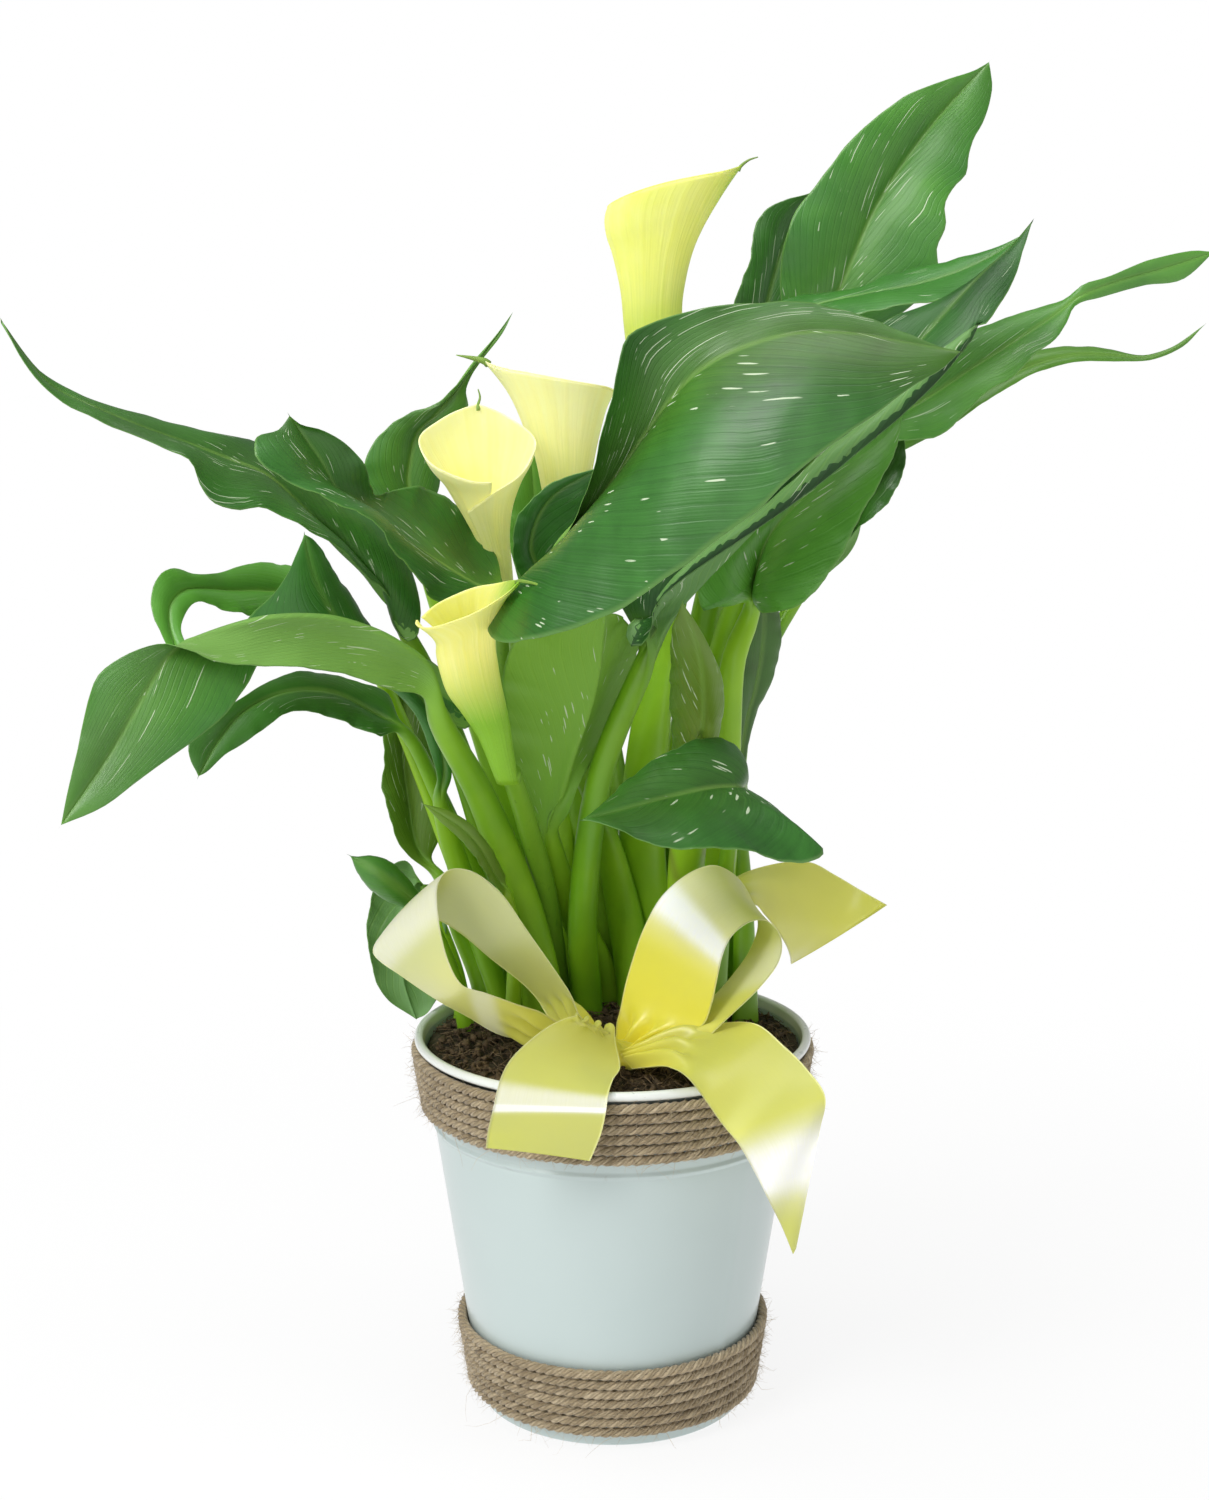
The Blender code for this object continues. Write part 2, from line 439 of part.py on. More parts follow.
def finish(name):
    colour, roughness, metallic = FINISHES[name]
    found = bpy.data.materials.get(name)
    if found:
        return found
    made = bpy.data.materials.new(name)
    made.use_nodes = True
    shader = made.node_tree.nodes["Principled BSDF"]
    shader.inputs["Base Color"].default_value = (*colour, 1.0)
    shader.inputs["Roughness"].default_value = roughness
    shader.inputs["Metallic"].default_value = metallic
    return made


def add_mesh(name, points, faces, finish_name, group):
    mesh = bpy.data.meshes.new(name)
    mesh.from_pydata([tuple(point) for point in points], [], faces)
    mesh.materials.append(finish(finish_name))
    mesh.shade_smooth()
    mesh.set_sharp_from_angle(angle=SHARP_EDGE)
    piece = bpy.data.objects.new(name, mesh)
    group.objects.link(piece)
    return piece


def spin(piece, segments=SEGMENTS):
    turn = piece.modifiers.new("turned", "SCREW")
    turn.steps = segments
    turn.render_steps = segments
    turn.use_merge_vertices = True
    turn.merge_threshold = 0.00001
    return piece


# A profile of (radius, height) points, run down its outer side, spun round Z.
def turned(name, profile, finish_name, group):
    mesh = bpy.data.meshes.new(name)
    points = [(radius, 0, height) for radius, height in profile]
    closed = profile[0][0] > 0
    count = len(points)
    edges = [(i, (i + 1) % count) for i in range(count if closed else count - 1)]
    mesh.from_pydata(points, edges, [])
    mesh.materials.append(finish(finish_name))
    piece = bpy.data.objects.new(name, mesh)
    group.objects.link(piece)
    return spin(piece)


# Outer radius of the tapered wall at a height.
def pot_radius(height):
    return POT_FOOT_RADIUS + (POT_RIM_RADIUS - POT_FOOT_RADIUS) * height / POT_HEIGHT


# Points of an arc in the turning plane, angles in degrees from straight out.
def arc(centre_radius, centre_height, radius, start, end, steps):
    points = []
    for i in range(steps + 1):
        angle = math.radians(start + (end - start) * i / steps)
        points.append((centre_radius + radius * math.cos(angle), centre_height + radius * math.sin(angle)))
    return points


def add_pot(group):
    roll_centre = POT_HEIGHT - RIM_ROLL * 0.5
    profile = [(0.0, POT_WALL), (POT_FOOT_RADIUS - 2 * POT_WALL, POT_WALL)]
    profile.append((pot_radius(roll_centre) - POT_WALL, roll_centre))
    profile += arc(pot_radius(roll_centre) + RIM_ROLL - POT_WALL, roll_centre, RIM_ROLL,
                   RIM_ROLL_FROM, RIM_ROLL_TO, RIM_ROLL_STEPS)
    profile.append((pot_radius(BEAD_HEIGHT + 2 * BEAD), BEAD_HEIGHT + 2 * BEAD))
    profile.append((pot_radius(BEAD_HEIGHT) + BEAD, BEAD_HEIGHT))
    profile.append((pot_radius(BEAD_HEIGHT - 2 * BEAD), BEAD_HEIGHT - 2 * BEAD))
    profile.append((pot_radius(POT_WALL), POT_WALL))
    profile.append((POT_FOOT_RADIUS - POT_WALL, 0.0))
    profile.append((0.0, 0.0))
    return turned("pot", profile, "enamel", group)


# Turns of twine laid edge to edge round the taper, joined into one ridged ring.
def add_band(name, base, turns, group):
    half = TWINE_DIAMETER / 2
    profile = []
    for turn in reversed(range(turns)):
        height = base + half + turn * TWINE_DIAMETER
        centre = pot_radius(height) + GAP + half
        profile += arc(centre, height, half, TWINE_ARC, -TWINE_ARC, TWINE_ARC_STEPS)
    lowest = base
    highest = base + turns * TWINE_DIAMETER
    profile.append((pot_radius(lowest) + GAP, lowest + GAP))
    profile.append((pot_radius(highest) + GAP, highest - GAP))
    return turned(name, profile, "jute", group)


# A point on the smooth curve through points, at 0 for the first and n - 1 for the last.
def catmull(points, at):
    last = len(points) - 1
    i = min(int(at), last - 1)
    t = at - i
    b, c = Vector(points[i]), Vector(points[i + 1])
    a = Vector(points[i - 1]) if i > 0 else b * 2 - c
    d = Vector(points[i + 2]) if i + 2 <= last else c * 2 - b
    return 0.5 * ((2 * b) + (c - a) * t + (2 * a - 5 * b + 4 * c - d) * t**2
                  + (3 * b - a - 3 * c + d) * t**3)


# Evenly spaced points, count + 1 of them, along the smooth curve through points.
def stations(points, count):
    fine = CURVE_STEPS * (len(points) - 1)
    walk = [catmull(points, i / CURVE_STEPS) for i in range(fine + 1)]
    reach = [0.0]
    for before, after in zip(walk, walk[1:]):
        reach.append(reach[-1] + (after - before).length)
    found = []
    k = 0
    for i in range(count + 1):
        wanted = reach[-1] * i / count
        while k < fine - 1 and reach[k + 1] < wanted:
            k += 1
        step = reach[k + 1] - reach[k]
        share = (wanted - reach[k]) / step if step else 0.0
        found.append(walk[k].lerp(walk[k + 1], min(max(share, 0.0), 1.0)))
    return found


def tangents(path):
    found = []
    for i in range(len(path)):
        ahead = path[min(i + 1, len(path) - 1)]
        behind = path[max(i - 1, 0)]
        found.append((ahead - behind).normalized())
    return found


# The value at a share of the way along a list, blended between neighbours.
def along_list(values, share):
    at = share * (len(values) - 1)
    i = min(int(at), len(values) - 2)
    t = at - i
    t = t * t * (3 - 2 * t)
    first, second = values[i], values[i + 1]
    if isinstance(first, tuple):
        return Vector(first).lerp(Vector(second), t)
    return first + (second - first) * t


def ease(share):
    share = min(max(share, 0.0), 1.0)
    return share * share * (3 - 2 * share)


# Width of the blade along it: 1 at its broadest, 0 at both ends.
def blade_width(share, broadest, taper):
    if share <= 0 or share >= 1:
        return 0.0
    rise = taper * broadest / (1 - broadest)
    return (share / broadest) ** rise * ((1 - share) / (1 - broadest)) ** taper


# How much of a lobe's backward sweep a section near the foot of the blade takes.
def lobe_reach(share):
    return ease(share / LOBE_FROM) * (1 - ease((share - LOBE_FROM) / (LOBE_TO - LOBE_FROM)))


def along_blade(value, share):
    return along_list(value, share) if isinstance(value, list) else value


# Closed ten-point sections from the foot of the stalk to the tip of the blade.
def leaf_sections(leaf):
    blade = stations(leaf["stalk"][-1:] + leaf["rib"], BLADE_STATIONS)
    stalk = stations(leaf["stalk"], STALK_STATIONS)
    path = stalk[:-1] + blade
    along = tangents(path)
    looks = leaf["looks"]
    wave, waves = leaf["wave"]
    sections = []
    for i, (place, ahead) in enumerate(zip(path, along)):
        share = (i - STALK_STATIONS) / BLADE_STATIONS
        if share <= 0:
            up = Vector(looks[0]).lerp(Vector(looks[1]), i / STALK_STATIONS)
            radius = leaf["radius"][0] + (leaf["radius"][1] - leaf["radius"][0]) * i / STALK_STATIONS
        else:
            up = along_list(looks[1:], share)
            radius = RIB_AT_TIP + (leaf["radius"][1] - RIB_AT_TIP) * (1 - share) ** RIB_TAPER
        up = (up - ahead * up.dot(ahead)).normalized()
        side = ahead.cross(up)
        merged = ease(share / MERGE)
        wide = blade_width(share, *leaf.get("shape", PLAIN_SHAPE))
        halves = leaf["half"] if isinstance(leaf["half"], tuple) else (leaf["half"],) * 2
        lobes = leaf.get("lobe", (0.0, 0.0))
        upper, lower = [], []
        for u in ACROSS:
            hand = 0 if u < 0 else 1
            angle = STALK_TURN * u
            round_side = side * radius * math.sin(angle)
            round_up = up * radius * math.cos(angle)
            fold = along_blade(leaf["fold"][hand], min(max(share, 0.0), 1.0))
            lift = math.radians(fold + leaf["curl"][hand] * abs(u))
            mean_lift = math.radians(fold + leaf["curl"][hand] * abs(u) / 2)
            half = max(halves[hand] * wide, RIB_AT_TIP * 2)
            across = half * u * math.cos(mean_lift)
            height = half * abs(u) * math.sin(mean_lift)
            ripple = math.sin(2 * math.pi * waves * share + RIPPLE_STARTS[hand])
            height += wave * u * u * ripple * ease(share / MERGE) * ease((1 - share) / RIPPLE_END)
            back = lobes[hand] * u * u * lobe_reach(share)
            top = side * across + up * height - ahead * back
            normal = up * math.cos(lift) - side * math.copysign(math.sin(lift), u) if u else up
            thick = BLADE + (radius * RIB_RIDGE if u == 0 else 0.0)
            upper.append(place + (round_side + round_up).lerp(top, merged))
            lower.append(place + (round_side - round_up).lerp(top - normal * thick, merged))
        sections.append(upper + lower[::-1])
    return sections


# Triangles of a closed loft, the upper and lower faces of a blade split alike.
def loft(sections):
    count = len(sections[0])
    half = count // 2
    points = [point for section in sections for point in section]
    faces = []
    for i in range(len(sections) - 1):
        here, there = i * count, (i + 1) * count
        for k in range(count):
            n = (k + 1) % count
            if k < half:
                faces.append((here + k, here + n, there + n))
                faces.append((here + k, there + n, there + k))
            else:
                faces.append((here + k, here + n, there + k))
                faces.append((here + n, there + n, there + k))
    last = (len(sections) - 1) * count
    for k in range(half - 1):
        a, b, c, d = k, k + 1, count - 2 - k, count - 1 - k
        faces.append((a, d, c))
        faces.append((a, c, b))
        faces.append((last + a, last + b, last + c))
        faces.append((last + a, last + c, last + d))
    return points, faces


def add_leaf(name, leaf, group):
    points, faces = loft(leaf_sections(leaf))
    return add_mesh(name, points, faces, "leaf", group)


# Round sections square to a path of points, the radius changing evenly along it.
def rings(path, radii, sides):
    count = len(path) - 1
    sections = []
    for i, (place, ahead) in enumerate(zip(path, tangents(path))):
        side = ahead.cross(Vector((0, 1, 0))).normalized()
        other = ahead.cross(side)
        radius = radii[0] + (radii[1] - radii[0]) * i / count
        ring = []
        for k in range(sides):
            angle = 2 * math.pi * k / sides
            ring.append(place + (side * math.cos(angle) + other * math.sin(angle)) * radius)
        sections.append(ring)
    return sections


# A closed loft of rings, with a flat fan at each end.
def ring_loft(sections):
    count = len(sections[0])
    points = [point for section in sections for point in section]
    faces = []
    for i in range(len(sections) - 1):
        for k in range(count):
            n = (k + 1) % count
            faces.append((i * count + k, i * count + n, (i + 1) * count + n, (i + 1) * count + k))
    faces.append(tuple(reversed(range(count))))
    faces.append(tuple((len(sections) - 1) * count + k for k in range(count)))
    return points, faces


def add_stalk(name, flower, group):
    path = stations(flower["stalk"], FLOWER_STALK_STATIONS)
    points, faces = ring_loft(rings(path, STALK_RADII, STALK_SIDES))
    return add_mesh(name, points, faces, "stalk", group)


# The spathe's foot, its axis, the way its tip leans and the way across.
def flower_frame(flower):
    foot = Vector(flower["stalk"][-1])
    axis = Vector(flower["mouth"]) - foot
    height = axis.length
    axis.normalize()
    lean = Vector(flower["tip"])
    lean = (lean - axis * lean.dot(axis)).normalized()
    return foot, axis, lean, axis.cross(lean), height


# A point of the rolled spathe: around is -1 to 1 from margin to margin, up is 0 to 1.
def spathe_point(flower, around, up):
    foot, axis, lean, across, height = flower_frame(flower)
    angle = around * (math.pi + SPATHE_OVERLAP / 2)
    narrow, wide = flower["widths"]
    back = 0.5 + 0.5 * math.cos(angle)
    rise = height + flower["rise"] * (back - 0.5)
    tail = max(0.0, 1 - abs(around) / TIP_SHARE) ** TIP_SHARPNESS
    turn_out = up**RIM_SHARPNESS
    radius = narrow + (wide - narrow) * up**SPATHE_SWELL
    radius += flower["flare"] * turn_out * (0.7 + 0.5 * back) + flower["point"] * tail * turn_out
    radius += SPATHE_SPIRAL * around
    out = lean * math.cos(angle) + across * math.sin(angle)
    droop = flower["flare"] / 2 * up**DROOP_SHARPNESS * (1 - back * 0.6)
    return foot + axis * (rise * up - droop - SPATHE_SINK) + out * radius


def add_spathe(name, flower, group):
    points = []
    for j in range(SPATHE_UP + 1):
        up = (j / SPATHE_UP) ** SPATHE_CROWDING
        for i in range(SPATHE_AROUND + 1):
            points.append(spathe_point(flower, 2 * i / SPATHE_AROUND - 1, up))
    faces = []
    row = SPATHE_AROUND + 1
    for j in range(SPATHE_UP):
        for i in range(SPATHE_AROUND):
            a = j * row + i
            faces.append((a, a + 1, a + row + 1))
            faces.append((a, a + row + 1, a + row))
    piece = add_mesh(name, points, faces, "spathe", group)
    skin = piece.modifiers.new("skin", "SOLIDIFY")
    skin.thickness = SPATHE
    skin.offset = 0
    return piece


def add_spadix(name, flower, group):
    foot, axis, lean, across, height = flower_frame(flower)
    start = foot + axis * GAP * 3
    sections = []
    for j in range(SPADIX_RINGS + 1):
        share = j / SPADIX_RINGS
        round_end = math.sqrt(max(1 - share**SPADIX_BLUNTNESS, 0.04))
        radius = SPADIX_RADIUS * (1 - SPADIX_TAPER * share) * round_end
        ring = []
        for k in range(STALK_SIDES):
            angle = 2 * math.pi * k / STALK_SIDES
            wind = FLORET_ROWS * angle + 2 * math.pi * FLORET_TURNS * share
            relief = FLORET_RELIEF * math.sin(wind) * ease(share * SPADIX_RINGS)
            out = lean * math.cos(angle) + across * math.sin(angle)
            ring.append(start + axis * SPADIX_LENGTH * share + out * (radius + relief))
        sections.append(ring)
    points, faces = ring_loft(sections)
    return add_mesh(name, points, faces, "spadix", group)


def add_ribbon(name, ribbon, group):
    path = stations(ribbon["route"], RIBBON_STATIONS)
    sections = []
    for i, (place, ahead) in enumerate(zip(path, tangents(path))):
        share = i / RIBBON_STATIONS
        across = along_list(ribbon["across"], share)
        across = (across - ahead * across.dot(ahead)).normalized()
        face = ahead.cross(across)
        half = along_list(ribbon["widths"], share) / 2
        upper = [place + across * half * u + face * RIBBON / 2 for u in (1, 0, -1)]
        lower = [place + across * half * u - face * RIBBON / 2 for u in (-1, 0, 1)]
        sections.append(upper + lower)
    points, faces = loft(sections)
    return add_mesh(name, points, faces, "satin", group)


def add_knot(group):
    shape = bmesh.new()
    bmesh.ops.create_uvsphere(
        shape, u_segments=KNOT_SEGMENTS[0], v_segments=KNOT_SEGMENTS[1], radius=1.0)
    for corner in shape.verts:
        scaled = [value * size for value, size in zip(corner.co, KNOT_SIZE)]
        corner.co = Vector(scaled) + Vector(KNOT_CENTRE)
    mesh = bpy.data.meshes.new("ribbon_knot")
    shape.to_mesh(mesh)
    shape.free()
    mesh.materials.append(finish("satin"))
    mesh.shade_smooth()
    piece = bpy.data.objects.new("ribbon_knot", mesh)
    group.objects.link(piece)
    return piece


# Height of the soil's rough surface, which rises a little to the middle.
def soil_height(x, y):
    reach = min(math.hypot(x, y) / pot_radius(SOIL_EDGE), 1.0)
    rough = math.sin(SOIL_BUMPS[0] * x + 1) * math.cos(SOIL_BUMPS[1] * y)
    rough += math.sin(SOIL_RIDGES[0] * x - SOIL_RIDGES[1] * y)
    return SOIL_EDGE + SOIL_CROWN * (1 - reach**2) + SOIL_ROUGHNESS * rough * (1 - reach**6)


# A round cutter along a stem to above the soil, wide enough to clear its corners.
def hole_cutter(name, path, radius, group):
    top = next(i for i, place in enumerate(path) if place.z > SOIL_EDGE + 2 * SOIL_CROWN)
    start = path[0] - (path[1] - path[0]).normalized() * GAP
    wide = (radius + GAP) / math.cos(math.pi / HOLE_SIDES)
    points, faces = ring_loft(rings([start] + path[1:top + 1], (wide, wide), HOLE_SIDES))
    cutter = add_mesh(name, points, faces, "soil", group)
    cutter.hide_render = True
    cutter.display_type = "WIRE"
    return cutter


def add_soil(group, cutters):
    bottom = 2 * POT_WALL + GAP
    points, faces = [], []
    for j in range(SOIL_RINGS + 1):
        for k in range(SEGMENTS):
            angle = 2 * math.pi * k / SEGMENTS
            radius = (pot_radius(SOIL_EDGE) - POT_WALL - 2 * GAP) * j / SOIL_RINGS
            if j:
                x, y = radius * math.cos(angle), radius * math.sin(angle)
                points.append((x, y, soil_height(x, y)))
    low = pot_radius(0) - 3 * POT_WALL - GAP
    for k in range(SEGMENTS):
        angle = 2 * math.pi * k / SEGMENTS
        points.append((low * math.cos(angle), low * math.sin(angle), bottom))
    centre = len(points)
    points.append((0, 0, soil_height(0, 0)))
    for j in range(SOIL_RINGS):
        for k in range(SEGMENTS):
            n = (k + 1) % SEGMENTS
            a, b = j * SEGMENTS + k, j * SEGMENTS + n
            faces.append((a, a + SEGMENTS, b + SEGMENTS))
            faces.append((a, b + SEGMENTS, b))
    for k in range(SEGMENTS):
        faces.append((centre, k, (k + 1) % SEGMENTS))
    faces.append(tuple(reversed(range(SOIL_RINGS * SEGMENTS, (SOIL_RINGS + 1) * SEGMENTS))))
    soil = add_mesh("soil", points, faces, "soil", group)
    holes = soil.modifiers.new("holes", "BOOLEAN")
    holes.operation = "DIFFERENCE"
    holes.operand_type = "COLLECTION"
    holes.collection = cutters
    return soil


def build():
    clear_scene()
    plant = new_collection("potted_calla_lily")
    cutters = new_collection("cutters")
    add_pot(plant)
    add_band("twine_top", TOP_BAND_BASE, TOP_BAND_TURNS, plant)
    add_band("twine_foot", FOOT_BAND_BASE, FOOT_BAND_TURNS, plant)
    for name, leaf in LEAVES.items():
        add_leaf(name, leaf, plant)
        path = stations(leaf["stalk"], STALK_STATIONS)
        hole_cutter("hole_" + name, path, leaf["radius"][0], cutters)
    for name, flower in FLOWERS.items():
        add_stalk(name + "_stalk", flower, plant)
        add_spathe(name + "_spathe", flower, plant)
        add_spadix(name + "_spadix", flower, plant)
        path = stations(flower["stalk"], FLOWER_STALK_STATIONS)
        hole_cutter("hole_" + name, path, STALK_RADII[0], cutters)
    add_soil(plant, cutters)
    for name, ribbon in RIBBONS.items():
        add_ribbon(name, ribbon, plant)
    add_knot(plant)


build()
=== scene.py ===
# Potted calla lily: the looks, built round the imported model. Metres, +Z up.
import math
import random

import bpy
import numpy as np
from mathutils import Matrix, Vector, noise


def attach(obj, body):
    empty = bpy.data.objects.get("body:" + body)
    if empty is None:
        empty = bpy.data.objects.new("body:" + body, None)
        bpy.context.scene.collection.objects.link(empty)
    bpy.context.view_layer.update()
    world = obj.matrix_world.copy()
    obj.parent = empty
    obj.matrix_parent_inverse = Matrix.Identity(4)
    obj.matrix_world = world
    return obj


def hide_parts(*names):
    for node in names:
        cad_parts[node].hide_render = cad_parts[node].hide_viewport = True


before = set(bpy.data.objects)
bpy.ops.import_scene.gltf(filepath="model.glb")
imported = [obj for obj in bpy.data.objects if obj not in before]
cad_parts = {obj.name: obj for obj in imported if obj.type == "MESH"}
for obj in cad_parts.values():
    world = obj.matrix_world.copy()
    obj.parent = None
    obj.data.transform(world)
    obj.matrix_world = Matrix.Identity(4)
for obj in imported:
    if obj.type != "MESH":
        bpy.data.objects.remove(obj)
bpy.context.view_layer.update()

print("packed model loaded:", len(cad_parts), "nodes")

scene = bpy.context.scene


# Shaders: a socket that does arithmetic, and a material that hands out nodes
class Wire:
    def __init__(self, look, socket):
        self.look = look
        self.socket = socket

    def maths(self, operation, *values, clamp=False):
        settings = {"operation": operation, "use_clamp": clamp}
        return self.look.node("ShaderNodeMath", settings, list(values))

    def __add__(self, other):
        return self.maths("ADD", self, other)

    __radd__ = __add__

    def __sub__(self, other):
        return self.maths("SUBTRACT", self, other)

    def __rsub__(self, other):
        return self.maths("SUBTRACT", other, self)

    def __mul__(self, other):
        return self.maths("MULTIPLY", self, other)

    __rmul__ = __mul__

    def __truediv__(self, other):
        return self.maths("DIVIDE", self, other)

    def __abs__(self):
        return self.maths("ABSOLUTE", self)

    def sine(self):
        return self.maths("SINE", self)

    def clamped(self):
        return self.maths("ADD", self, 0.0, clamp=True)

    def above(self, low, high):               # 0 below low, 1 above high, smooth between
        settings = {"interpolation_type": "SMOOTHSTEP"}
        sockets = {"Value": self, "From Min": low, "From Max": high, "To Min": 0.0, "To Max": 1.0}
        return self.look.node("ShaderNodeMapRange", settings, sockets)

    def below(self, low, high):
        return 1 - self.above(low, high)


class Look:
    def __init__(self, name, constants):
        self.material = bpy.data.materials.new(name)
        self.material.use_nodes = True
        self.tree = self.material.node_tree
        self.shader = self.tree.nodes["Principled BSDF"]
        for socket, value in constants.items():
            self.shader.inputs[socket].default_value = value

    def node(self, kind, settings=None, sockets=(), output=0):
        made = self.tree.nodes.new(kind)
        for key, value in (settings or {}).items():
            if key == "stops":
                for i, (place, colour) in enumerate(value):
                    ramp = made.color_ramp.elements
                    stop = ramp[i] if i < 2 else ramp.new(place)
                    stop.position = place
                    stop.color = colour
            else:
                setattr(made, key, value)
        for key, value in sockets.items() if isinstance(sockets, dict) else enumerate(sockets):
            if isinstance(value, Wire):
                self.tree.links.new(value.socket, made.inputs[key])
            else:
                made.inputs[key].default_value = value
        return Wire(self, made.outputs[output])

    def mix(self, factor, first, second):
        settings = {"data_type": "RGBA", "clamp_factor": True}
        return self.node("ShaderNodeMix", settings, {0: factor, 6: first, 7: second}, 2)

    def grid(self, name):                     # the two numbers of a UV map
        place = self.node("ShaderNodeUVMap", {"uv_map": name})
        return [self.node("ShaderNodeSeparateXYZ", {}, [place], part) for part in (0, 1)]

    def value(self, name):                    # a number kept on the points
        return self.node("ShaderNodeAttribute", {"attribute_name": name}, (), 2)

    def vector(self, x, y, z=0.0):
        return self.node("ShaderNodeCombineXYZ", {}, [x, y, z])

    def place(self):
        return self.node("ShaderNodeTexCoord", {}, (), 3)

    def cloud(self, vector, scale, detail=2.0, distortion=0.0):
        sockets = {"Vector": vector, "Scale": scale, "Detail": detail, "Distortion": distortion}
        return self.node("ShaderNodeTexNoise", {}, sockets)

    def bump(self, height, distance, strength=1.0):
        sockets = {"Strength": strength, "Distance": distance, "Height": height}
        return self.node("ShaderNodeBump", {}, sockets)

    def feed(self, **links):
        for socket, wire in links.items():
            self.tree.links.new(wire.socket, self.shader.inputs[socket.replace("_", " ")])
        return self.material


def rgb(red, green, blue):
    return (red, green, blue, 1.0)


# Curves
fineSteps = 40                                # between two given points of a curve
upright = np.array([0.0, 0.0, 1.0])


def curvePoint(points, at):
    last = len(points) - 1
    i = min(int(at), last - 1)
    t = at - i
    b, c = points[i], points[i + 1]
    a = points[i - 1] if i > 0 else b * 2 - c
    d = points[i + 2] if i + 2 <= last else c * 2 - b
    return 0.5 * (b * 2 + (c - a) * t + (a * 2 - b * 5 + c * 4 - d) * t**2 + (b * 3 - a - c * 3 + d) * t**3)


def fineCurve(points, fine=fineSteps):        # a smooth curve through the points
    return np.array([curvePoint(points, i / fine) for i in range(fine * (len(points) - 1) + 1)])


def walked(path):                             # the distance along the path at each of its points
    return np.concatenate([[0.0], np.cumsum(np.linalg.norm(np.diff(path, axis=0), axis=1))])


def sample(wanted, reach, rows):              # the rows' values at the wanted distances
    return np.stack([np.interp(wanted, reach, column) for column in rows.T], axis=1)


def curve(points, count):                     # count + 1 even steps along a smooth curve
    walk = fineCurve([np.array(point, float) for point in points])
    reach = walked(walk)
    return sample(np.linspace(0.0, reach[-1], count + 1), reach, walk), reach[-1]


def circle(count):                            # even angles round a full turn
    return np.linspace(0, 2 * math.pi, count, endpoint=False)


def unit(vectors):
    return vectors / np.maximum(np.linalg.norm(vectors, axis=-1, keepdims=True), 1e-9)


def ahead(path):
    return unit(np.gradient(path, axis=0))


def square(vectors, along):                   # what is left of each vector square to the path
    return unit(vectors - along * np.sum(vectors * along, axis=1, keepdims=True))


def ease(share):
    share = np.clip(share, 0.0, 1.0)
    return share * share * (3 - 2 * share)


def blended(values, shares):                  # a list of values, blended along a length
    values = np.array(values, float)
    at = np.clip(shares, 0.0, 1.0) * (len(values) - 1)
    i = np.clip(at.astype(int), 0, len(values) - 2)
    part = ease(at - i)
    return values[i] * (1 - part) + values[i + 1] * part


# Meshes
def newMesh(name, points, faces, material, grids=None, values=None, smooth=True):
    mesh = bpy.data.meshes.new(name)
    mesh.from_pydata([tuple(point) for point in points], [], faces)
    mesh.materials.append(material)
    corners = np.zeros(len(mesh.loops), int)
    mesh.loops.foreach_get("vertex_index", corners)
    for key, pairs in (grids or {}).items():
        layer = mesh.uv_layers.new(name=key)
        layer.data.foreach_set("uv", np.asarray(pairs, np.float32)[corners].ravel())
    for key, numbers in (values or {}).items():
        layer = mesh.attributes.new(key, "FLOAT", "POINT")
        layer.data.foreach_set("value", np.asarray(numbers, np.float32))
    if smooth:
        mesh.shade_smooth()
    mesh.validate()
    piece = bpy.data.objects.new(name, mesh)
    scene.collection.objects.link(piece)
    return piece


def dress(piece, slot, *replaced):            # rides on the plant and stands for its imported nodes
    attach(piece, "root")
    if replaced:
        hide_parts(*replaced)
    return piece


def sheetFaces(rows, columns, closed=False, start=0):
    faces = []
    for j in range(rows - 1):
        for k in range(columns if closed else columns - 1):
            n = (k + 1) % columns
            a, b = start + j * columns + k, start + j * columns + n
            faces.append((a, b, b + columns, a + columns))
    return faces


def tubeFaces(rows, sides, start=0):          # with two flat ends
    faces = sheetFaces(rows, sides, True, start)
    faces.append(tuple(start + k for k in reversed(range(sides))))
    faces.append(tuple(start + (rows - 1) * sides + k for k in range(sides)))
    return faces


def rounds(side, other, angles):              # a circle of directions at each point of a path
    return side[:, None] * np.cos(angles)[None, :, None] + other[:, None] * np.sin(angles)[None, :, None]


def tube(path, radii, sides, start=0):        # points and faces of a round tube
    along = ahead(path)
    side = square(np.tile([[0.2, 1.0, 0.1]], (len(path), 1)), along)
    out = rounds(side, np.cross(along, side), circle(sides))
    points = path[:, None, :] + out * np.asarray(radii)[:, None, None]
    return points.reshape(-1, 3), tubeFaces(len(path), sides, start)


def pieceName(name, part):
    return name.replace("_", "") + part


# Pot: enamelled sheet metal, a rolled rim, a bead and a lapped seam
potSize = {
    "height": 0.1405, "footRadius": 0.0500, "rimRadius": 0.0712, "wall": 0.0012,
    "roll": 0.0017, "bead": 0.0008, "beadHeight": 0.1085, "segments": 192,
    "seamAngle": -44, "seamWidth": 0.0032, "seamRise": 0.00035, "seamFrom": 0.002, "whiteFrom": 0.1370,
    "seamSteep": 14, "seamFade": 1.6, "insideSteps": 24, "rollSteps": 18, "rollFrom": 165, "rollTurn": 290,
    "beadSteps": 12, "beadHalf": 2.4, "beadSharp": 2.1, "crease": 0.18, "creaseAt": 0.85, "creaseSharp": 6,
    "outsideSteps": 30, "footSteps": 5, "footTurn": 15, "under": 0.0006,
    "colour": rgb(0.52, 0.61, 0.595), "drift": rgb(0.44, 0.54, 0.525), "worn": rgb(0.42, 0.48, 0.45),
    "rim": rgb(0.80, 0.83, 0.79), "roughness": 0.27,
}


def potRadius(height):
    return potSize["footRadius"] + (potSize["rimRadius"] - potSize["footRadius"]) * height / potSize["height"]


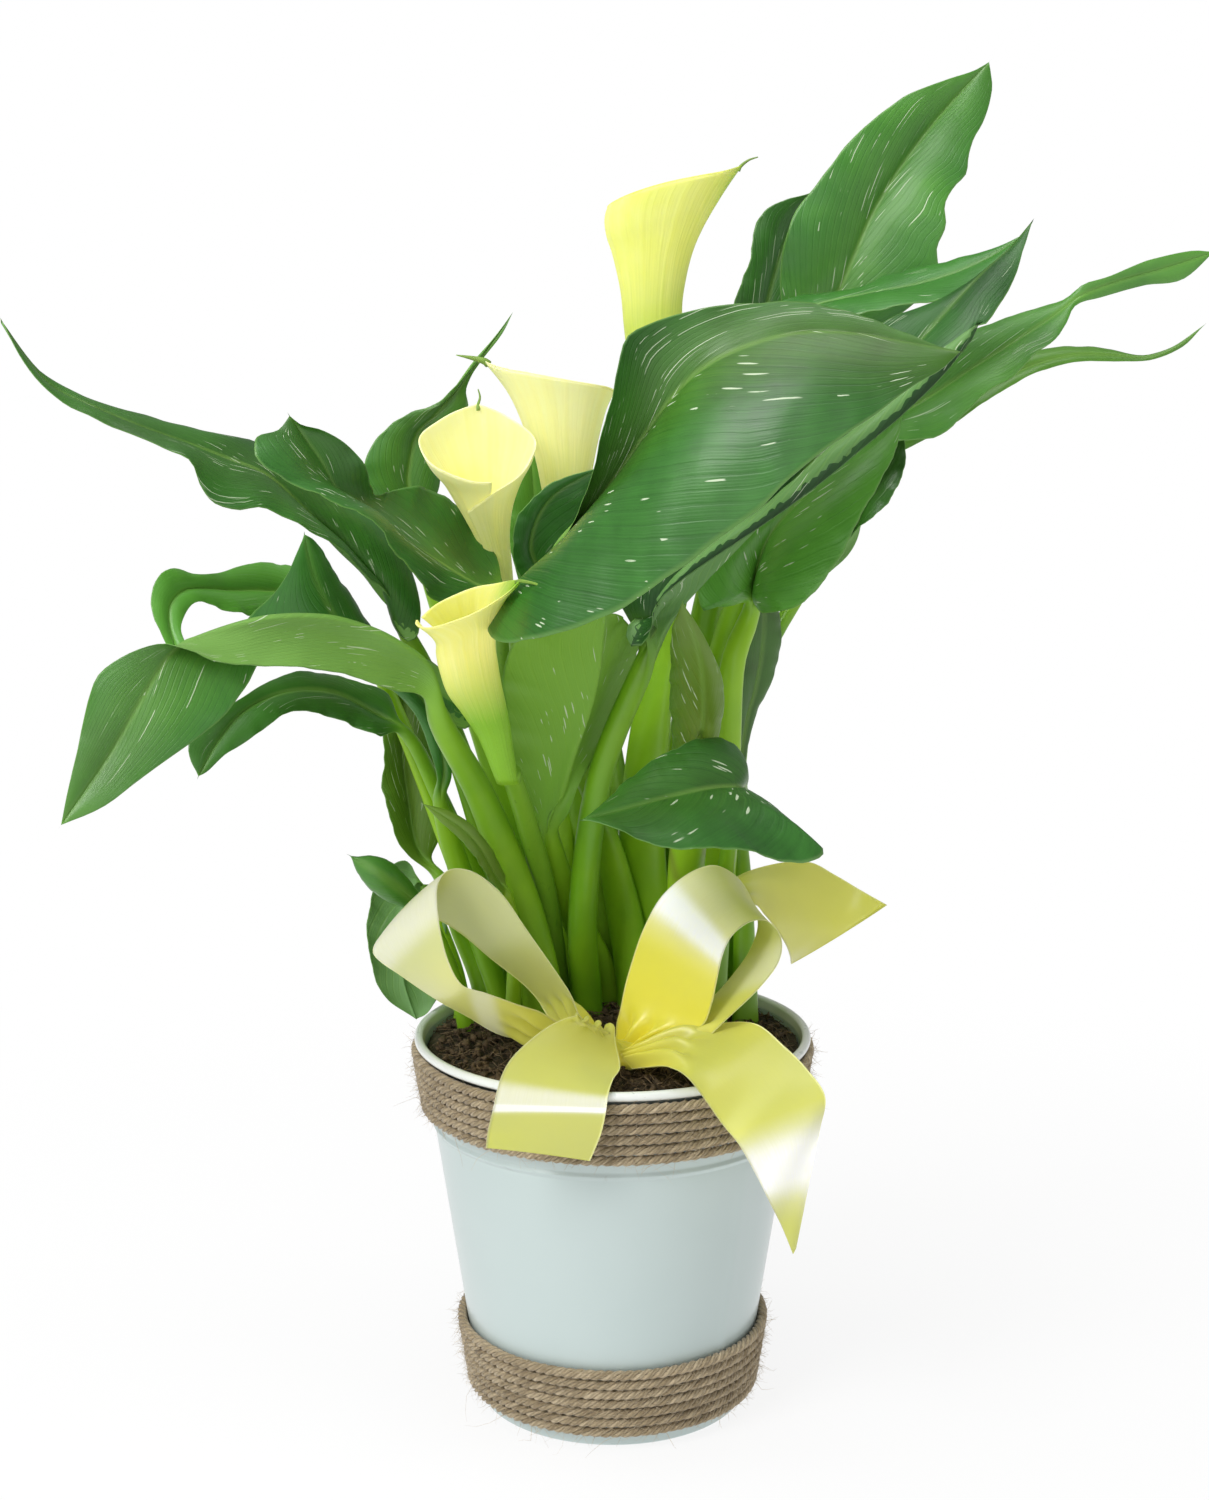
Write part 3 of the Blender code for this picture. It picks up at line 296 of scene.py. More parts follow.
def enamelLook():
    look = Look("enamel", {"Metallic": 0.0, "Coat Weight": 0.35, "Coat Roughness": 0.12, "IOR": 1.5})
    place = look.place()
    height = look.node("ShaderNodeSeparateXYZ", {}, [place], 2)
    drift = look.cloud(place, 14, 3)
    grain = look.cloud(place, 900, 2)
    scuffs = look.cloud(place, 160, 4, 1.5).above(0.62, 0.72)
    bead = potSize["beadHeight"]
    edge = abs(height - bead).below(0.0008, 0.0018) + (height - potSize["height"]).above(-0.001, 0.001)
    wear = (scuffs * edge.clamped()).clamped()
    colour = look.mix(drift.above(0.3, 0.7) * 0.35, potSize["colour"], potSize["drift"])
    colour = look.mix(height.above(potSize["whiteFrom"], potSize["whiteFrom"] + 0.001), colour, potSize["rim"])
    colour = look.mix(wear * 0.6, colour, potSize["worn"])
    rough = potSize["roughness"] + drift * 0.08 + wear * 0.2
    ripple = look.cloud(look.node("ShaderNodeMapping", {}, {0: place, 3: (1.0, 1.0, 0.25)}), 22, 1)
    bump = look.bump(ripple * 0.0009 + grain * 0.000006, 1.0, 0.6)
    return look.feed(Base_Color=colour, Roughness=rough, Normal=bump)


def potLines():            # radius and height, from the middle of the inside over the rim to the middle below
    form = potSize
    wall, roll, bead, foot = form["wall"], form["roll"], form["bead"], form["footRadius"]
    rollHeight = form["height"] - roll * 0.5
    lines = [(0.0, wall), (foot - 6 * wall, wall), (foot - 2.6 * wall, wall * 1.1), (foot - 1.5 * wall, wall * 2.2)]
    for i in range(1, form["insideSteps"]):
        height = wall * 2.2 + (rollHeight - wall * 2.2) * i / form["insideSteps"]
        lines.append((potRadius(height) - wall, height))
    for i in range(form["rollSteps"] + 1):
        angle = math.radians(form["rollFrom"] - form["rollTurn"] * i / form["rollSteps"])
        out = potRadius(rollHeight) + roll - wall
        lines.append((out + roll * math.cos(angle), rollHeight + roll * math.sin(angle)))
    outside = len(lines) - 1                  # from here on the line runs down the outer face
    beadHeight, beadHalf = form["beadHeight"], bead * form["beadHalf"]
    for step in np.linspace(-1, 1, form["beadSteps"] + 1):      # one round bead with a fine crease each side
        height = beadHeight - step * beadHalf
        crease = form["crease"] * math.exp(-((abs(step) - form["creaseAt"]) * form["creaseSharp"])**2)
        lines.append((potRadius(height) + bead * (math.exp(-(step * form["beadSharp"])**2) - crease), height))
    for i in range(1, form["outsideSteps"]):
        part = i / form["outsideSteps"]
        height = (beadHeight - beadHalf) * (1 - part) + wall * part
        lines.append((potRadius(height), height))
    for i in range(form["footSteps"] + 1):
        angle = math.radians(-form["footTurn"] * i)
        lines.append((foot - wall + wall * math.cos(angle), wall + wall * math.sin(angle)))
    lines += [(foot - 3 * wall, 0.0), (foot - 4 * wall, form["under"]), (0.0, form["under"])]
    return lines, outside


def addPot():
    form = potSize
    lines, outside = potLines()
    count = form["segments"]
    angles = circle(count)
    turn = (angles - math.radians(form["seamAngle"]) + math.pi) % (2 * math.pi) - math.pi
    near = turn * form["rimRadius"] / form["seamWidth"]            # the lapped seam rises in a step and fades away
    lap = form["seamRise"] / (1 + np.exp(-np.clip(near + 0.5, -3, 3) * form["seamSteep"]))
    lap = lap * np.exp(-np.clip(near - 0.3, 0, None) * form["seamFade"])
    points = []
    for i, (radius, height) in enumerate(lines):
        wide = radius + (lap if i >= outside and height > form["seamFrom"] else 0.0)
        points.append(np.stack([wide * np.cos(angles), wide * np.sin(angles), np.full(count, height)], axis=1))
    points = np.array(points).reshape(-1, 3)
    faces = [tuple(reversed(face)) for face in sheetFaces(len(lines), count, True)]
    dress(newMesh("potShell", points, faces, enamelLook()), "enamel", "pot")


addPot()
print("pot made")


# Soil: dark, crumbly, with coir fibres
soilSize = {
    "edge": 0.1350, "crown": 0.0050, "roughness": 0.0011, "bumps": (310, 270), "ridges": (520, 410),
    "lumps": (240, 0.0016), "lumpDetail": (0.8, 2.1, 4), "clods": (90, 0.0012), "skirt": 0.02, "middle": 0.004,
    "rings": 90, "segments": 220, "clearance": 0.0018, "fibres": 1500, "crumbs": 1500, "seed": 12,
    "fibreLength": (0.004, 0.016), "fibreRadius": (0.00012, 0.00034), "fibreSteps": 4, "fibreRise": (0.0016, 0.0014),
    "fibreTurn": 0.35, "fibresWithin": 0.96, "endsWithin": 0.985, "crumbsWithin": 0.95, "crumbTint": 0.5,
    "crumbSize": (0.0006, 0.0026), "crumbRise": (0.0006, 0.0022), "crumbWide": (0.5, 1), "crumbHigh": (0.4, 0.9),
    "crumbCorner": (0.7, 1.2),
}
hairShape = {"sides": 3, "end": 0.25}


def soilHeight(x, y):
    reach = np.minimum(np.hypot(x, y) / potRadius(soilSize["edge"]), 1.0)
    rough = np.sin(soilSize["bumps"][0] * x + 1) * np.cos(soilSize["bumps"][1] * y)
    rough = rough + np.sin(soilSize["ridges"][0] * x - soilSize["ridges"][1] * y)
    return soilSize["edge"] + soilSize["crown"] * (1 - reach**2) + soilSize["roughness"] * rough * (1 - reach**6)


def soilLook():
    look = Look("soil", {"IOR": 1.4})
    place = look.place()
    lumps = look.cloud(place, 220, 6)
    fine = look.cloud(place, 1400, 3)
    colour = look.node("ShaderNodeValToRGB", {"stops": [
        (0.30, rgb(0.010, 0.007, 0.004)), (0.62, rgb(0.062, 0.050, 0.026)), (0.74, rgb(0.12, 0.085, 0.045))]},
        [lumps * 0.75 + fine * 0.25])
    return look.feed(Base_Color=colour, Roughness=0.8 + fine * 0.2,
                     Normal=look.bump(lumps * 0.7 + fine * 0.3, 0.0016, 1.0))


def coirLook():
    look = Look("coir", {"Roughness": 0.85})
    tint = look.value("tint")
    streak = look.cloud(look.place(), 800, 2)
    colour = look.node("ShaderNodeValToRGB", {"stops": [
        (0.0, rgb(0.03, 0.02, 0.01)), (0.6, rgb(0.13, 0.085, 0.04)), (1.0, rgb(0.30, 0.22, 0.12))]},
        [tint * 0.8 + streak * 0.25])
    return look.feed(Base_Color=colour, Normal=look.bump(streak, 0.0002, 0.6))


def hair(path, radius, start):                # a thin three-sided fibre, pointed at its end
    radii = radius * np.linspace(1.0, hairShape["end"], len(path))
    return tube(path, radii, hairShape["sides"], start)


def soilSpot(rand, limit):                    # a place picked evenly over the soil
    reach = limit * math.sqrt(rand.random())
    turn = rand.uniform(0, 2 * math.pi)
    return np.array([reach * math.cos(turn), reach * math.sin(turn), 0.0])


def addSoilTop(limit):
    form = soilSize
    rings, count = form["rings"], form["segments"]
    angles = circle(count)
    radii = limit * np.linspace(form["middle"], 1, rings)
    x, y = radii[:, None] * np.cos(angles), radii[:, None] * np.sin(angles)
    z = soilHeight(x, y)
    lumps, lumpRise = form["lumps"]
    clods, clodRise = form["clods"]
    for i in range(rings):
        for k in range(count):
            here = Vector((x[i, k], y[i, k], 0.0))
            lump = noise.fractal(here * lumps, *form["lumpDetail"])
            z[i, k] += lumpRise * lump + clodRise * abs(noise.noise(here * clods))
    points = np.stack([x, y, z], axis=2).reshape(-1, 3)
    faces = sheetFaces(rings, count, True)
    low = len(points)
    deep = form["edge"] - form["skirt"]
    inside = potRadius(deep) - form["clearance"]
    skirt = np.stack([inside * np.cos(angles), inside * np.sin(angles), np.full(count, deep)], axis=1)
    for k in range(count):
        n = (k + 1) % count
        faces.append((low - count + k, low - count + n, low + n, low + k))
    faces.append(tuple(reversed(range(low, low + count))))
    faces.append(tuple(range(count)))
    faces = [tuple(reversed(face)) for face in faces]
    dress(newMesh("soilTop", np.concatenate([points, skirt]), faces, soilLook()), "soil", "soil")


def coirFibre(rand, limit):
    form = soilSize
    place = soilSpot(rand, limit * form["fibresWithin"])
    heading = rand.uniform(0, 2 * math.pi)
    length = rand.uniform(*form["fibreLength"])
    rise, loose = form["fibreRise"]
    furthest = limit * form["endsWithin"]
    steps = []
    for s in range(form["fibreSteps"] + 1):
        heading += rand.normal(0, form["fibreTurn"])
        onward = np.array([math.cos(heading), math.sin(heading), 0.0]) * length * s / form["fibreSteps"]
        step = place + onward
        far = math.hypot(step[0], step[1])
        if far > furthest:
            step[:2] *= furthest / far
        step[2] = soilHeight(step[0], step[1]) + rise + rand.uniform(0, loose)
        steps.append(step)
    return np.array(steps)


def addSoil():
    form = soilSize
    rand = np.random.default_rng(form["seed"])
    limit = potRadius(form["edge"]) - form["clearance"]
    addSoilTop(limit)
    points, faces, tints = [], [], []
    total = 0
    for i in range(form["fibres"]):
        steps = coirFibre(rand, limit)
        made, sides = hair(steps, rand.uniform(*form["fibreRadius"]), total)
        points.append(made)
        faces += sides
        tints += [rand.random()] * len(made)
        total += len(made)
    corners = np.array([(1, 0, 0), (-1, 0, 0), (0, 1, 0), (0, -1, 0), (0, 0, 1), (0, 0, -1)], float)
    crumbSides = [(4, 0, 2), (4, 2, 1), (4, 1, 3), (4, 3, 0), (5, 2, 0), (5, 1, 2), (5, 3, 1), (5, 0, 3)]
    for i in range(form["crumbs"]):
        place = soilSpot(rand, limit * form["crumbsWithin"])
        place[2] = soilHeight(place[0], place[1]) + rand.uniform(*form["crumbRise"])
        size = rand.uniform(*form["crumbSize"])
        size = size * np.array([1, rand.uniform(*form["crumbWide"]), rand.uniform(*form["crumbHigh"])])
        tilt = np.linalg.qr(rand.normal(size=(3, 3)))[0]
        made = (corners * size * rand.uniform(*form["crumbCorner"], (len(corners), 1))) @ tilt + place
        points.append(made)
        faces += [tuple(total + k for k in side) for side in crumbSides]
        tints += [rand.random() * form["crumbTint"]] * len(corners)
        total += len(corners)
    piece = newMesh("coir", np.concatenate(points), faces, coirLook(), values={"tint": tints})
    dress(piece, "soil")


addSoil()
print("soil made")


# Twine: three-ply jute wound in level turns, each stepping up at the back
twineSize = {
    "diameter": 0.0039, "gap": 0.0003, "pitch": 0.0105, "perTwist": 8, "sides": 6, "jogAngle": 100,
    "bands": {"twineTop": (0.1140, 6, "twine_top"), "twineFoot": (0.0052, 7, "twine_foot")},
    "strand": 0.4641, "jogFrom": 0.93, "slack": 0.16, "slackStep": 0.012, "swells": ((0.10, 460, 2), (0.06, 1310, 1)),
    "fuzz": 2600, "fuzzLength": (0.002, 0.0065), "fuzzRadius": (0.00004, 0.00010), "fuzzDroop": -0.05,
    "hang": 26, "hangLength": (0.010, 0.022), "hangDroop": -0.30, "lowest": 0.0004, "seed": 4, "tintSteps": 90,
    "fuzzAround": 1.2, "fuzzLift": (0.15, 0.8), "fuzzOut": 0.6, "fuzzFrom": 0.46, "fuzzStray": 0.25,
    "fuzzBend": 0.22, "fuzzSteps": 3, "fuzzTint": (0.6, 0.4),
}


def juteLook():
    look = Look("jute", {"Sheen Weight": 0.25, "Sheen Roughness": 0.5})
    across, along = look.grid("strand")
    tint = look.value("tint")
    fibre = look.cloud(look.vector(across * 9, along * 900), 1.0, 3)
    patch = look.cloud(look.place(), 120, 2)
    colour = look.node("ShaderNodeValToRGB", {"stops": [
        (0.24, rgb(0.12, 0.08, 0.035)), (0.5, rgb(0.36, 0.28, 0.165)), (0.80, rgb(0.66, 0.55, 0.37))]},
        [fibre * 0.6 + patch * 0.25 + tint * 0.25])
    # painted shade, meant for the grooves between the plies: each ply is darkened on the sides facing straight in to
    # and straight out from the twine's middle
    groove = abs(across - 0.5) * 2
    return look.feed(Base_Color=look.mix(groove.above(0.55, 1.0) * 0.55, colour, rgb(0.13, 0.09, 0.045)),
                     Roughness=0.75 + fibre * 0.2, Normal=look.bump(fibre, 0.0004, 0.9))


def twineRoute(base, turns):                  # the wound twine's middle line, and straight out from it
    form = twineSize
    half = form["diameter"] / 2
    around = 2 * math.pi * (potRadius(base) + form["gap"] + half)
    turn = np.linspace(0, turns, int(around * turns / form["pitch"] * form["perTwist"]))
    level = np.floor(turn)
    climb = ease((turn - level - form["jogFrom"]) / (1 - form["jogFrom"])) * (level < turns - 1)
    height = base + half + form["diameter"] * (np.minimum(level, turns - 1) + climb)
    angle = math.radians(form["jogAngle"]) + 2 * math.pi * turn
    radius = potRadius(height) + form["gap"] + half
    out = np.stack([np.cos(angle), np.sin(angle), np.zeros_like(angle)], axis=1)
    return out * radius[:, None] + upright * height[:, None], out


def addTwine(name, base, turns, node, material):
    form = twineSize
    rand = np.random.default_rng(form["seed"] + turns)
    centre, out = twineRoute(base, turns)
    reach = walked(centre)
    strand = form["diameter"] / 2 * form["strand"]
    offset = form["diameter"] / 2 - strand
    sides = form["sides"]
    angles = circle(sides)
    points, faces, grid, tints = [], [], [], []
    slackStep = form["slackStep"]
    knots = np.arange(0, reach[-1] + 0.03, slackStep)
    slack = np.interp(reach, knots, rand.normal(0, form["slack"], int(reach[-1] / slackStep) + 4)[:len(knots)])
    for ply in range(3):
        wind = 2 * math.pi * reach / form["pitch"] + ply * 2 * math.pi / 3 + slack
        away = out * np.cos(wind)[:, None] + upright * np.sin(wind)[:, None]
        core = centre + away * offset
        along = ahead(core)
        side = square(away, along)
        swell = 1 + sum(much * np.sin(reach * often + ply * shift) for much, often, shift in form["swells"])
        faces += tubeFaces(len(core), sides, len(points) * len(centre) * sides)
        ring = rounds(side, np.cross(along, side), angles)
        points.append((core[:, None, :] + ring * (strand * swell)[:, None, None]).reshape(-1, 3))
        rows = np.stack([np.tile(0.5 - 0.5 * np.cos(angles + math.pi), (len(core), 1)),
                         np.repeat(reach[:, None], sides, axis=1)], axis=2)
        grid.append(rows.reshape(-1, 2))
        shades = rand.random(form["tintSteps"])
        shade = np.interp(reach, np.linspace(0, reach[-1], len(shades)), shades)
        tints.append(np.repeat(shade, sides))
    piece = newMesh(name, np.concatenate(points), faces, material,
                    grids={"strand": np.concatenate(grid)}, values={"tint": np.concatenate(tints)})
    dress(piece, "jute", node)
    addFuzz(name, centre, out, turns, material, rand)


def addFuzz(name, centre, out, turns, material, rand):      # short fibres, and a few long ones that hang
    form = twineSize
    points, faces, grid, tints = [], [], [], []
    dullest, spread = form["fuzzTint"]
    total = 0
    for i in range(form["fuzz"] + form["hang"]):
        k = rand.integers(2, len(centre) - 2)
        loose = i >= form["fuzz"]
        if loose:
            k = rand.integers(2, len(centre) // turns)
        around = rand.uniform(-form["fuzzAround"], form["fuzzAround"])
        away = out[k] * math.cos(around) + upright * math.sin(around)
        run = ahead(centre[k - 1:k + 2])[1]
        length = rand.uniform(*form["hangLength" if loose else "fuzzLength"])
        droop = np.array([0, 0, form["hangDroop" if loose else "fuzzDroop"]])
        lift = rand.uniform(*form["fuzzLift"])
        heading = run * rand.choice([-1, 1]) * (1 - lift) + away * lift * form["fuzzOut"]
        heading = unit(heading + rand.normal(0, form["fuzzStray"], 3))
        place = centre[k] + away * form["diameter"] * form["fuzzFrom"]
        steps = [place]
        for s in range(form["fuzzSteps"]):
            heading = unit(heading + rand.normal(0, form["fuzzBend"], 3) + droop)
            place = place + heading * length / form["fuzzSteps"]
            place[2] = max(place[2], form["lowest"])
            near = math.hypot(place[0], place[1])
            least = potRadius(place[2]) + form["lowest"]
            if near < least:
                place = place * np.array([least / near, least / near, 1])
            steps.append(place)
        made, sided = hair(np.array(steps), rand.uniform(*form["fuzzRadius"]), total)
        points.append(made)
        faces += sided
        grid.append(np.tile([[0.5, rand.random()]], (len(made), 1)))
        tints += [dullest + spread * rand.random()] * len(made)
        total += len(made)
    piece = newMesh(name + "Fuzz", np.concatenate(points), faces, material,
                    grids={"strand": np.concatenate(grid)}, values={"tint": tints})
    dress(piece, "jute")


jute = juteLook()
for band, (base, turns, node) in twineSize["bands"].items():
    addTwine(band, base, turns, node, jute)
print("twine wound")


# Where a point of the photograph (1209 x 1500 pixels) lies in the scene, at a given depth y.
cameraSet = {"place": (-0.003, -0.854, 0.411), "pitch": -10.9, "lens": 57.6, "sensor": 36.0,
             "focal": 2400, "centre": (604.5, 750)}


def seenAt(across, down, depth):              # two pixel counts, and metres
    right = (across - cameraSet["centre"][0]) / cameraSet["focal"]
    down = (down - cameraSet["centre"][1]) / cameraSet["focal"]
    tilt = math.radians(cameraSet["pitch"])
    ray = np.array([right, math.cos(tilt) + down * math.sin(tilt), math.sin(tilt) - down * math.cos(tilt)])
    eye = np.array(cameraSet["place"])
    return eye + ray * (depth - eye[1]) / ray[1]


def spot(place):                              # a place in metres, or in pixels with its depth in millimetres
    if abs(place[0]) < 1:
        return np.array(place, float)
    return seenAt(place[0], place[1], place[2] / 1000)


# Leaves. stalk: points from inside the soil to the foot of the blade; rib: the rest of the
# midrib, to the tip. left and right: the margins from the foot to the tip, as seen on the
# upper face with the tip ahead. radius: the stalk's, in the soil and at the blade. looks:
# where its flat side faces in the soil; sheath: how much wider it is there. bulge: how far
# each half is crowned, as a share of its width. hem: a strip of the margin turned over, its
# side, width, start and end. wave: height and count. tint: how light, how olive, how flecked.
# How light is partly the leaf's own tone and partly painted light and shade: lighter for leaves
# that catch the light, darker for leaves in shadow; how olive also sets the underside's painted glow.
# Points are written as spot reads them.
leaves = {
    "leaf_arch_left": {
        "stalk": [(-0.024, 0.012, 0.120), (-0.026, 0.010, 0.150), (-0.034, 0.002, 0.190), (-0.047, -0.014, 0.232),
                  (-0.060, -0.031, 0.262)],
        "rib": [(424, 668, -36), (391, 643, -47), (356, 628, -56), (321, 620, -67), (265, 621, -85), (205, 637, -100),
                (172, 652, -109), (145, 693, -115), (108, 757, -120), (61, 825, -128)],
        "right": [(418, 700, -40), (375, 685, -56), (345, 675, -68), (300, 669, -86), (262, 665, -98), (225, 660, -108),
                  (190, 650, -114), (160, 644, -114), (130, 653, -116), (101, 672, -118), (90, 695, -120),
                  (79, 745, -123), (68, 790, -126)],
        "left": [(462, 752, -18), (472, 728, -12), (464, 700, -12), (444, 676, -14), (420, 659, -17), (393, 647, -20),
                 (350, 640, -26), (310, 648, -50), (280, 655, -70), (262, 662, -86), (252, 680, -96), (241, 695, -102),
                 (221, 719, -108), (192, 742, -114), (150, 772, -120), (105, 806, -125)],
        "bulge": (0.10, 0.10), "radius": (0.0058, 0.0042),
        "looks": (0.5, 0.8, 0), "sheath": 0.55, "wave": (0.0010, 2), "tint": (0.50, 0.2, 0.3),
    },
    "leaf_long_left": {
        "stalk": [(-0.031, 0.046, 0.120), (-0.033, 0.046, 0.150), (-0.046, 0.036, 0.200), (-0.060, 0.020, 0.250),
                  (-0.073, 0.006, 0.285)],
        "rib": [(375, 580, -2), (340, 545, -8), (305, 509, -16), (268, 475, -24), (228, 458, -30), (190, 444, -36),
                (140, 426, -43), (90, 405, -48), (50, 385, -52), (22, 352, -55), (3, 322, -56)],
        "left": [(385, 590, -6), (368, 577, -12), (345, 549, -20), (300, 527, -30), (262, 509, -36), (238, 510, -40),
                 (214, 502, -43), (203, 489, -45), (191, 462, -47), (155, 443, -49), (110, 424, -52), (62, 402, -56),
                 (38, 382, -58), (20, 356, -58)],
        "right": [(392, 622, 4), (404, 643, 0), (412, 649, -2), (419, 638, -1), (421, 610, 2), (414, 575, 6),
                  (400, 545, 8), (370, 514, 8), (330, 489, 4), (290, 466, -4), (255, 444, -12), (225, 435, -20),
                  (190, 428, -28), (140, 414, -36), (95, 400, -42), (55, 381, -48), (38, 371, -50), (20, 347, -54)],
        "bulge": (0.14, 0.10), "radius": (0.0042, 0.0032),
        "looks": (0.5, -0.4, 0.3), "wave": (0.0006, 2), "tint": (0.28, 0.1, 0.25),
    },
    "leaf_upper_left": {
        "stalk": [(-0.017, 0.047, 0.120), (-0.019, 0.047, 0.150), (-0.030, 0.042, 0.215), (-0.034, 0.020, 0.265),
                  (-0.036, -0.006, 0.302)],
        "rib": [(475, 582, -16), (440, 561, -24), (405, 538, -31), (383, 522, -36), (358, 505, -40), (337, 490, -43),
                (322, 463, -46), (306, 440, -48), (290, 416, -50)],
        "left": [(480, 592, -16), (455, 604, -24), (432, 597, -32), (420, 583, -38), (404, 563, -44), (388, 545, -50),
                 (368, 516, -56), (330, 499, -62), (290, 480, -66), (262, 465, -68), (253, 450, -66), (258, 436, -60),
                 (278, 430, -54)],
        "right": [(500, 565, 4), (484, 540, 10), (470, 519, 12), (454, 501, 10), (435, 490, 6), (412, 487, -2),
                  (392, 491, -12), (378, 496, -24), (371, 484, -34), (364, 463, -40), (345, 443, -44), (322, 430, -47),
                  (302, 425, -50)],
        "bulge": (0.12, -0.10), "radius": (0.0040, 0.0030),
        "looks": (0.3, 0.3, 0), "wave": (0.0006, 2), "tint": (0.34, 0.1, 0.3),
    },
    "leaf_twist_left": {
        "stalk": [(-0.041, 0.033, 0.120), (-0.044, 0.034, 0.150), (-0.062, 0.042, 0.200), (-0.080, 0.038, 0.250),
                  (-0.095, 0.024, 0.286)],
        "rib": [(293, 596, 12), (262, 590, 4), (232, 590, -6), (205, 588, -16), (184, 590, -24), (171, 603, -30),
                (169, 625, -34), (176, 650, -38), (180, 668, -40)],
        "left": [(300, 622, 6), (275, 622, -2), (252, 616, -10), (230, 611, -16), (208, 602, -22), (194, 603, -26),
                 (185, 615, -30), (181, 630, -34), (187, 650, -38)],
        "right": [(300, 572, 22), (280, 563, 16), (262, 562, 10), (240, 566, 2), (218, 573, -8), (196, 574, -18),
                  (175, 568, -24), (160, 575, -30), (152, 595, -34), (156, 620, -38), (168, 648, -40)],
        "bulge": (0.14, 0.14), "radius": (0.0038, 0.0024),
        "looks": (0.5, -0.2, 0.2), "wave": (0.0006, 2), "tint": (1.0, 0.0, 0.1),
    },
    "leaf_peak_left": {
        "stalk": [(-0.040, 0.016, 0.120), (-0.043, 0.015, 0.150), (-0.054, 0.012, 0.190), (-0.063, 0.005, 0.225)],
        "rib": [(444, 765, -4), (430, 712, -8), (400, 676, -12), (365, 652, -16), (338, 622, -22), (318, 585, -29),
                (309, 556, -34), (305, 535, -38)],
        "left": [(436, 770, -6), (416, 716, -10), (380, 682, -14), (330, 666, -18), (270, 650, -21), (240, 632, -23),
                 (252, 614, -26), (270, 597, -29), (284, 579, -32), (295, 557, -35)],
        "right": [(452, 775, -2), (442, 715, -4), (416, 680, -2), (395, 655, 0), (376, 633, 0), (356, 603, -6),
                  (340, 578, -14), (325, 555, -26), (314, 540, -34)],
        "bulge": (0.14, 0.20), "radius": (0.0040, 0.0028),
        "looks": (0.4, 0.3, 0.2), "wave": (0.0005, 1), "tint": (0.45, 0.0, 0.2),
    },
    "leaf_low_left": {
        "stalk": [(-0.031, 0.028, 0.120), (-0.034, 0.029, 0.150), (-0.052, 0.030, 0.192), (-0.066, 0.027, 0.226),
                  (-0.076, 0.021, 0.248)],
        "rib": [(366, 708, 14), (335, 693, 6), (300, 690, -4), (268, 698, -14), (240, 714, -24), (217, 742, -32),
                (199, 776, -40)],
        "left": [(380, 735, 10), (350, 724, 4), (318, 714, -4), (292, 711, -14), (272, 722, -22), (250, 739, -28),
                 (225, 755, -34), (208, 771, -38)],
        "right": [(390, 695, 22), (362, 683, 18), (330, 673, 12), (297, 672, 2), (266, 683, -10), (243, 697, -22),
                  (215, 716, -32), (190, 741, -38), (190, 758, -40)],
        "bulge": (0.14, 0.14), "radius": (0.0040, 0.0024),
        "looks": (0.4, 0.2, 0.2), "wave": (0.0006, 2), "tint": (0.28, 0.1, 0.3),
    },
    "leaf_behind_left": {
        "stalk": [(-0.047, 0.040, 0.120), (-0.049, 0.041, 0.145), (-0.059, 0.046, 0.168), (-0.066, 0.048, 0.186)],
        "rib": [(417, 846, 50), (408, 800, 52), (402, 750, 52), (402, 700, 50), (404, 655, 48)],
        "left": [(405, 852, 46), (394, 832, 44), (387, 805, 42), (383, 768, 42), (383, 735, 42), (390, 710, 44),
                 (396, 680, 46)],
        "right": [(432, 858, 50), (440, 835, 50), (444, 790, 50), (440, 745, 50), (430, 700, 50), (415, 665, 49)],
        "bulge": (0.12, 0.12), "radius": (0.0038, 0.0026),
        "looks": (0.3, -0.8, 0), "wave": (0.0008, 3), "tint": (0.62, 0.45, 0.5),
    },
    "leaf_rolled_left": {
        "stalk": [(-0.054, 0.010, 0.120), (-0.055, 0.010, 0.140), (-0.061, 0.009, 0.163), (-0.068, 0.006, 0.181)],
        "rib": [(414, 901, -3), (396, 886, -10), (376, 871, -14), (350, 856, -12)],
        "left": [(412, 909, 2), (394, 899, 0), (376, 886, -2), (361, 870, -6)],
        "right": [(421, 897, 2), (410, 885, 0), (394, 870, -2), (379, 860, -5), (364, 857, -9)],
        "bulge": (0.40, 0.40), "radius": (0.0032, 0.0026),
        "looks": (0.5, -0.3, 0.2), "sheath": 0.2, "wave": (0.0, 1), "tint": (0.55, 0.1, 0.0),
    },
    "leaf_hanging_left": {
        "stalk": [(-0.055, 0.026, 0.120), (-0.057, 0.028, 0.145), (-0.064, 0.030, 0.168), (-0.071, 0.032, 0.184)],
        "rib": [(415, 884, 31), (405, 905, 27), (400, 940, 23), (403, 980, 21), (416, 1019, 21)],
        "left": [(408, 862, 31), (387, 868, 27), (374, 890, 22), (367, 928, 18), (371, 965, 16), (385, 997, 17)],
        "right": [(436, 882, 34), (444, 910, 31), (446, 950, 27), (440, 990, 23), (428, 1012, 21)],
        "bulge": (0.12, 0.14), "radius": (0.0030, 0.0020),
        "looks": (0.2, -0.5, 0.2), "wave": (0.0006, 2), "tint": (0.95, 0.0, 0.1),
    },
    "leaf_narrow_front": {
        "stalk": [(-0.037, 0.002, 0.120), (-0.037, 0.001, 0.145), (-0.036, -0.003, 0.175), (-0.039, -0.010, 0.195)],
        "rib": [(492, 868, -18), (479, 846, -24), (463, 829, -29), (444, 816, -33), (424, 804, -34)],
        "left": [(502, 892, -16), (490, 880, -21), (476, 858, -27), (459, 838, -31), (440, 821, -34)],
        "right": [(506, 880, -10), (499, 862, -14), (487, 842, -20), (471, 824, -26), (450, 811, -31)],
        "bulge": (0.12, 0.12), "radius": (0.0030, 0.0026),
        "looks": (0.6, -0.3, 0.2), "sheath": 0.1, "wave": (0.0, 1), "tint": (1.05, 0.5, 0.0),
    },
    "leaf_back_left": {
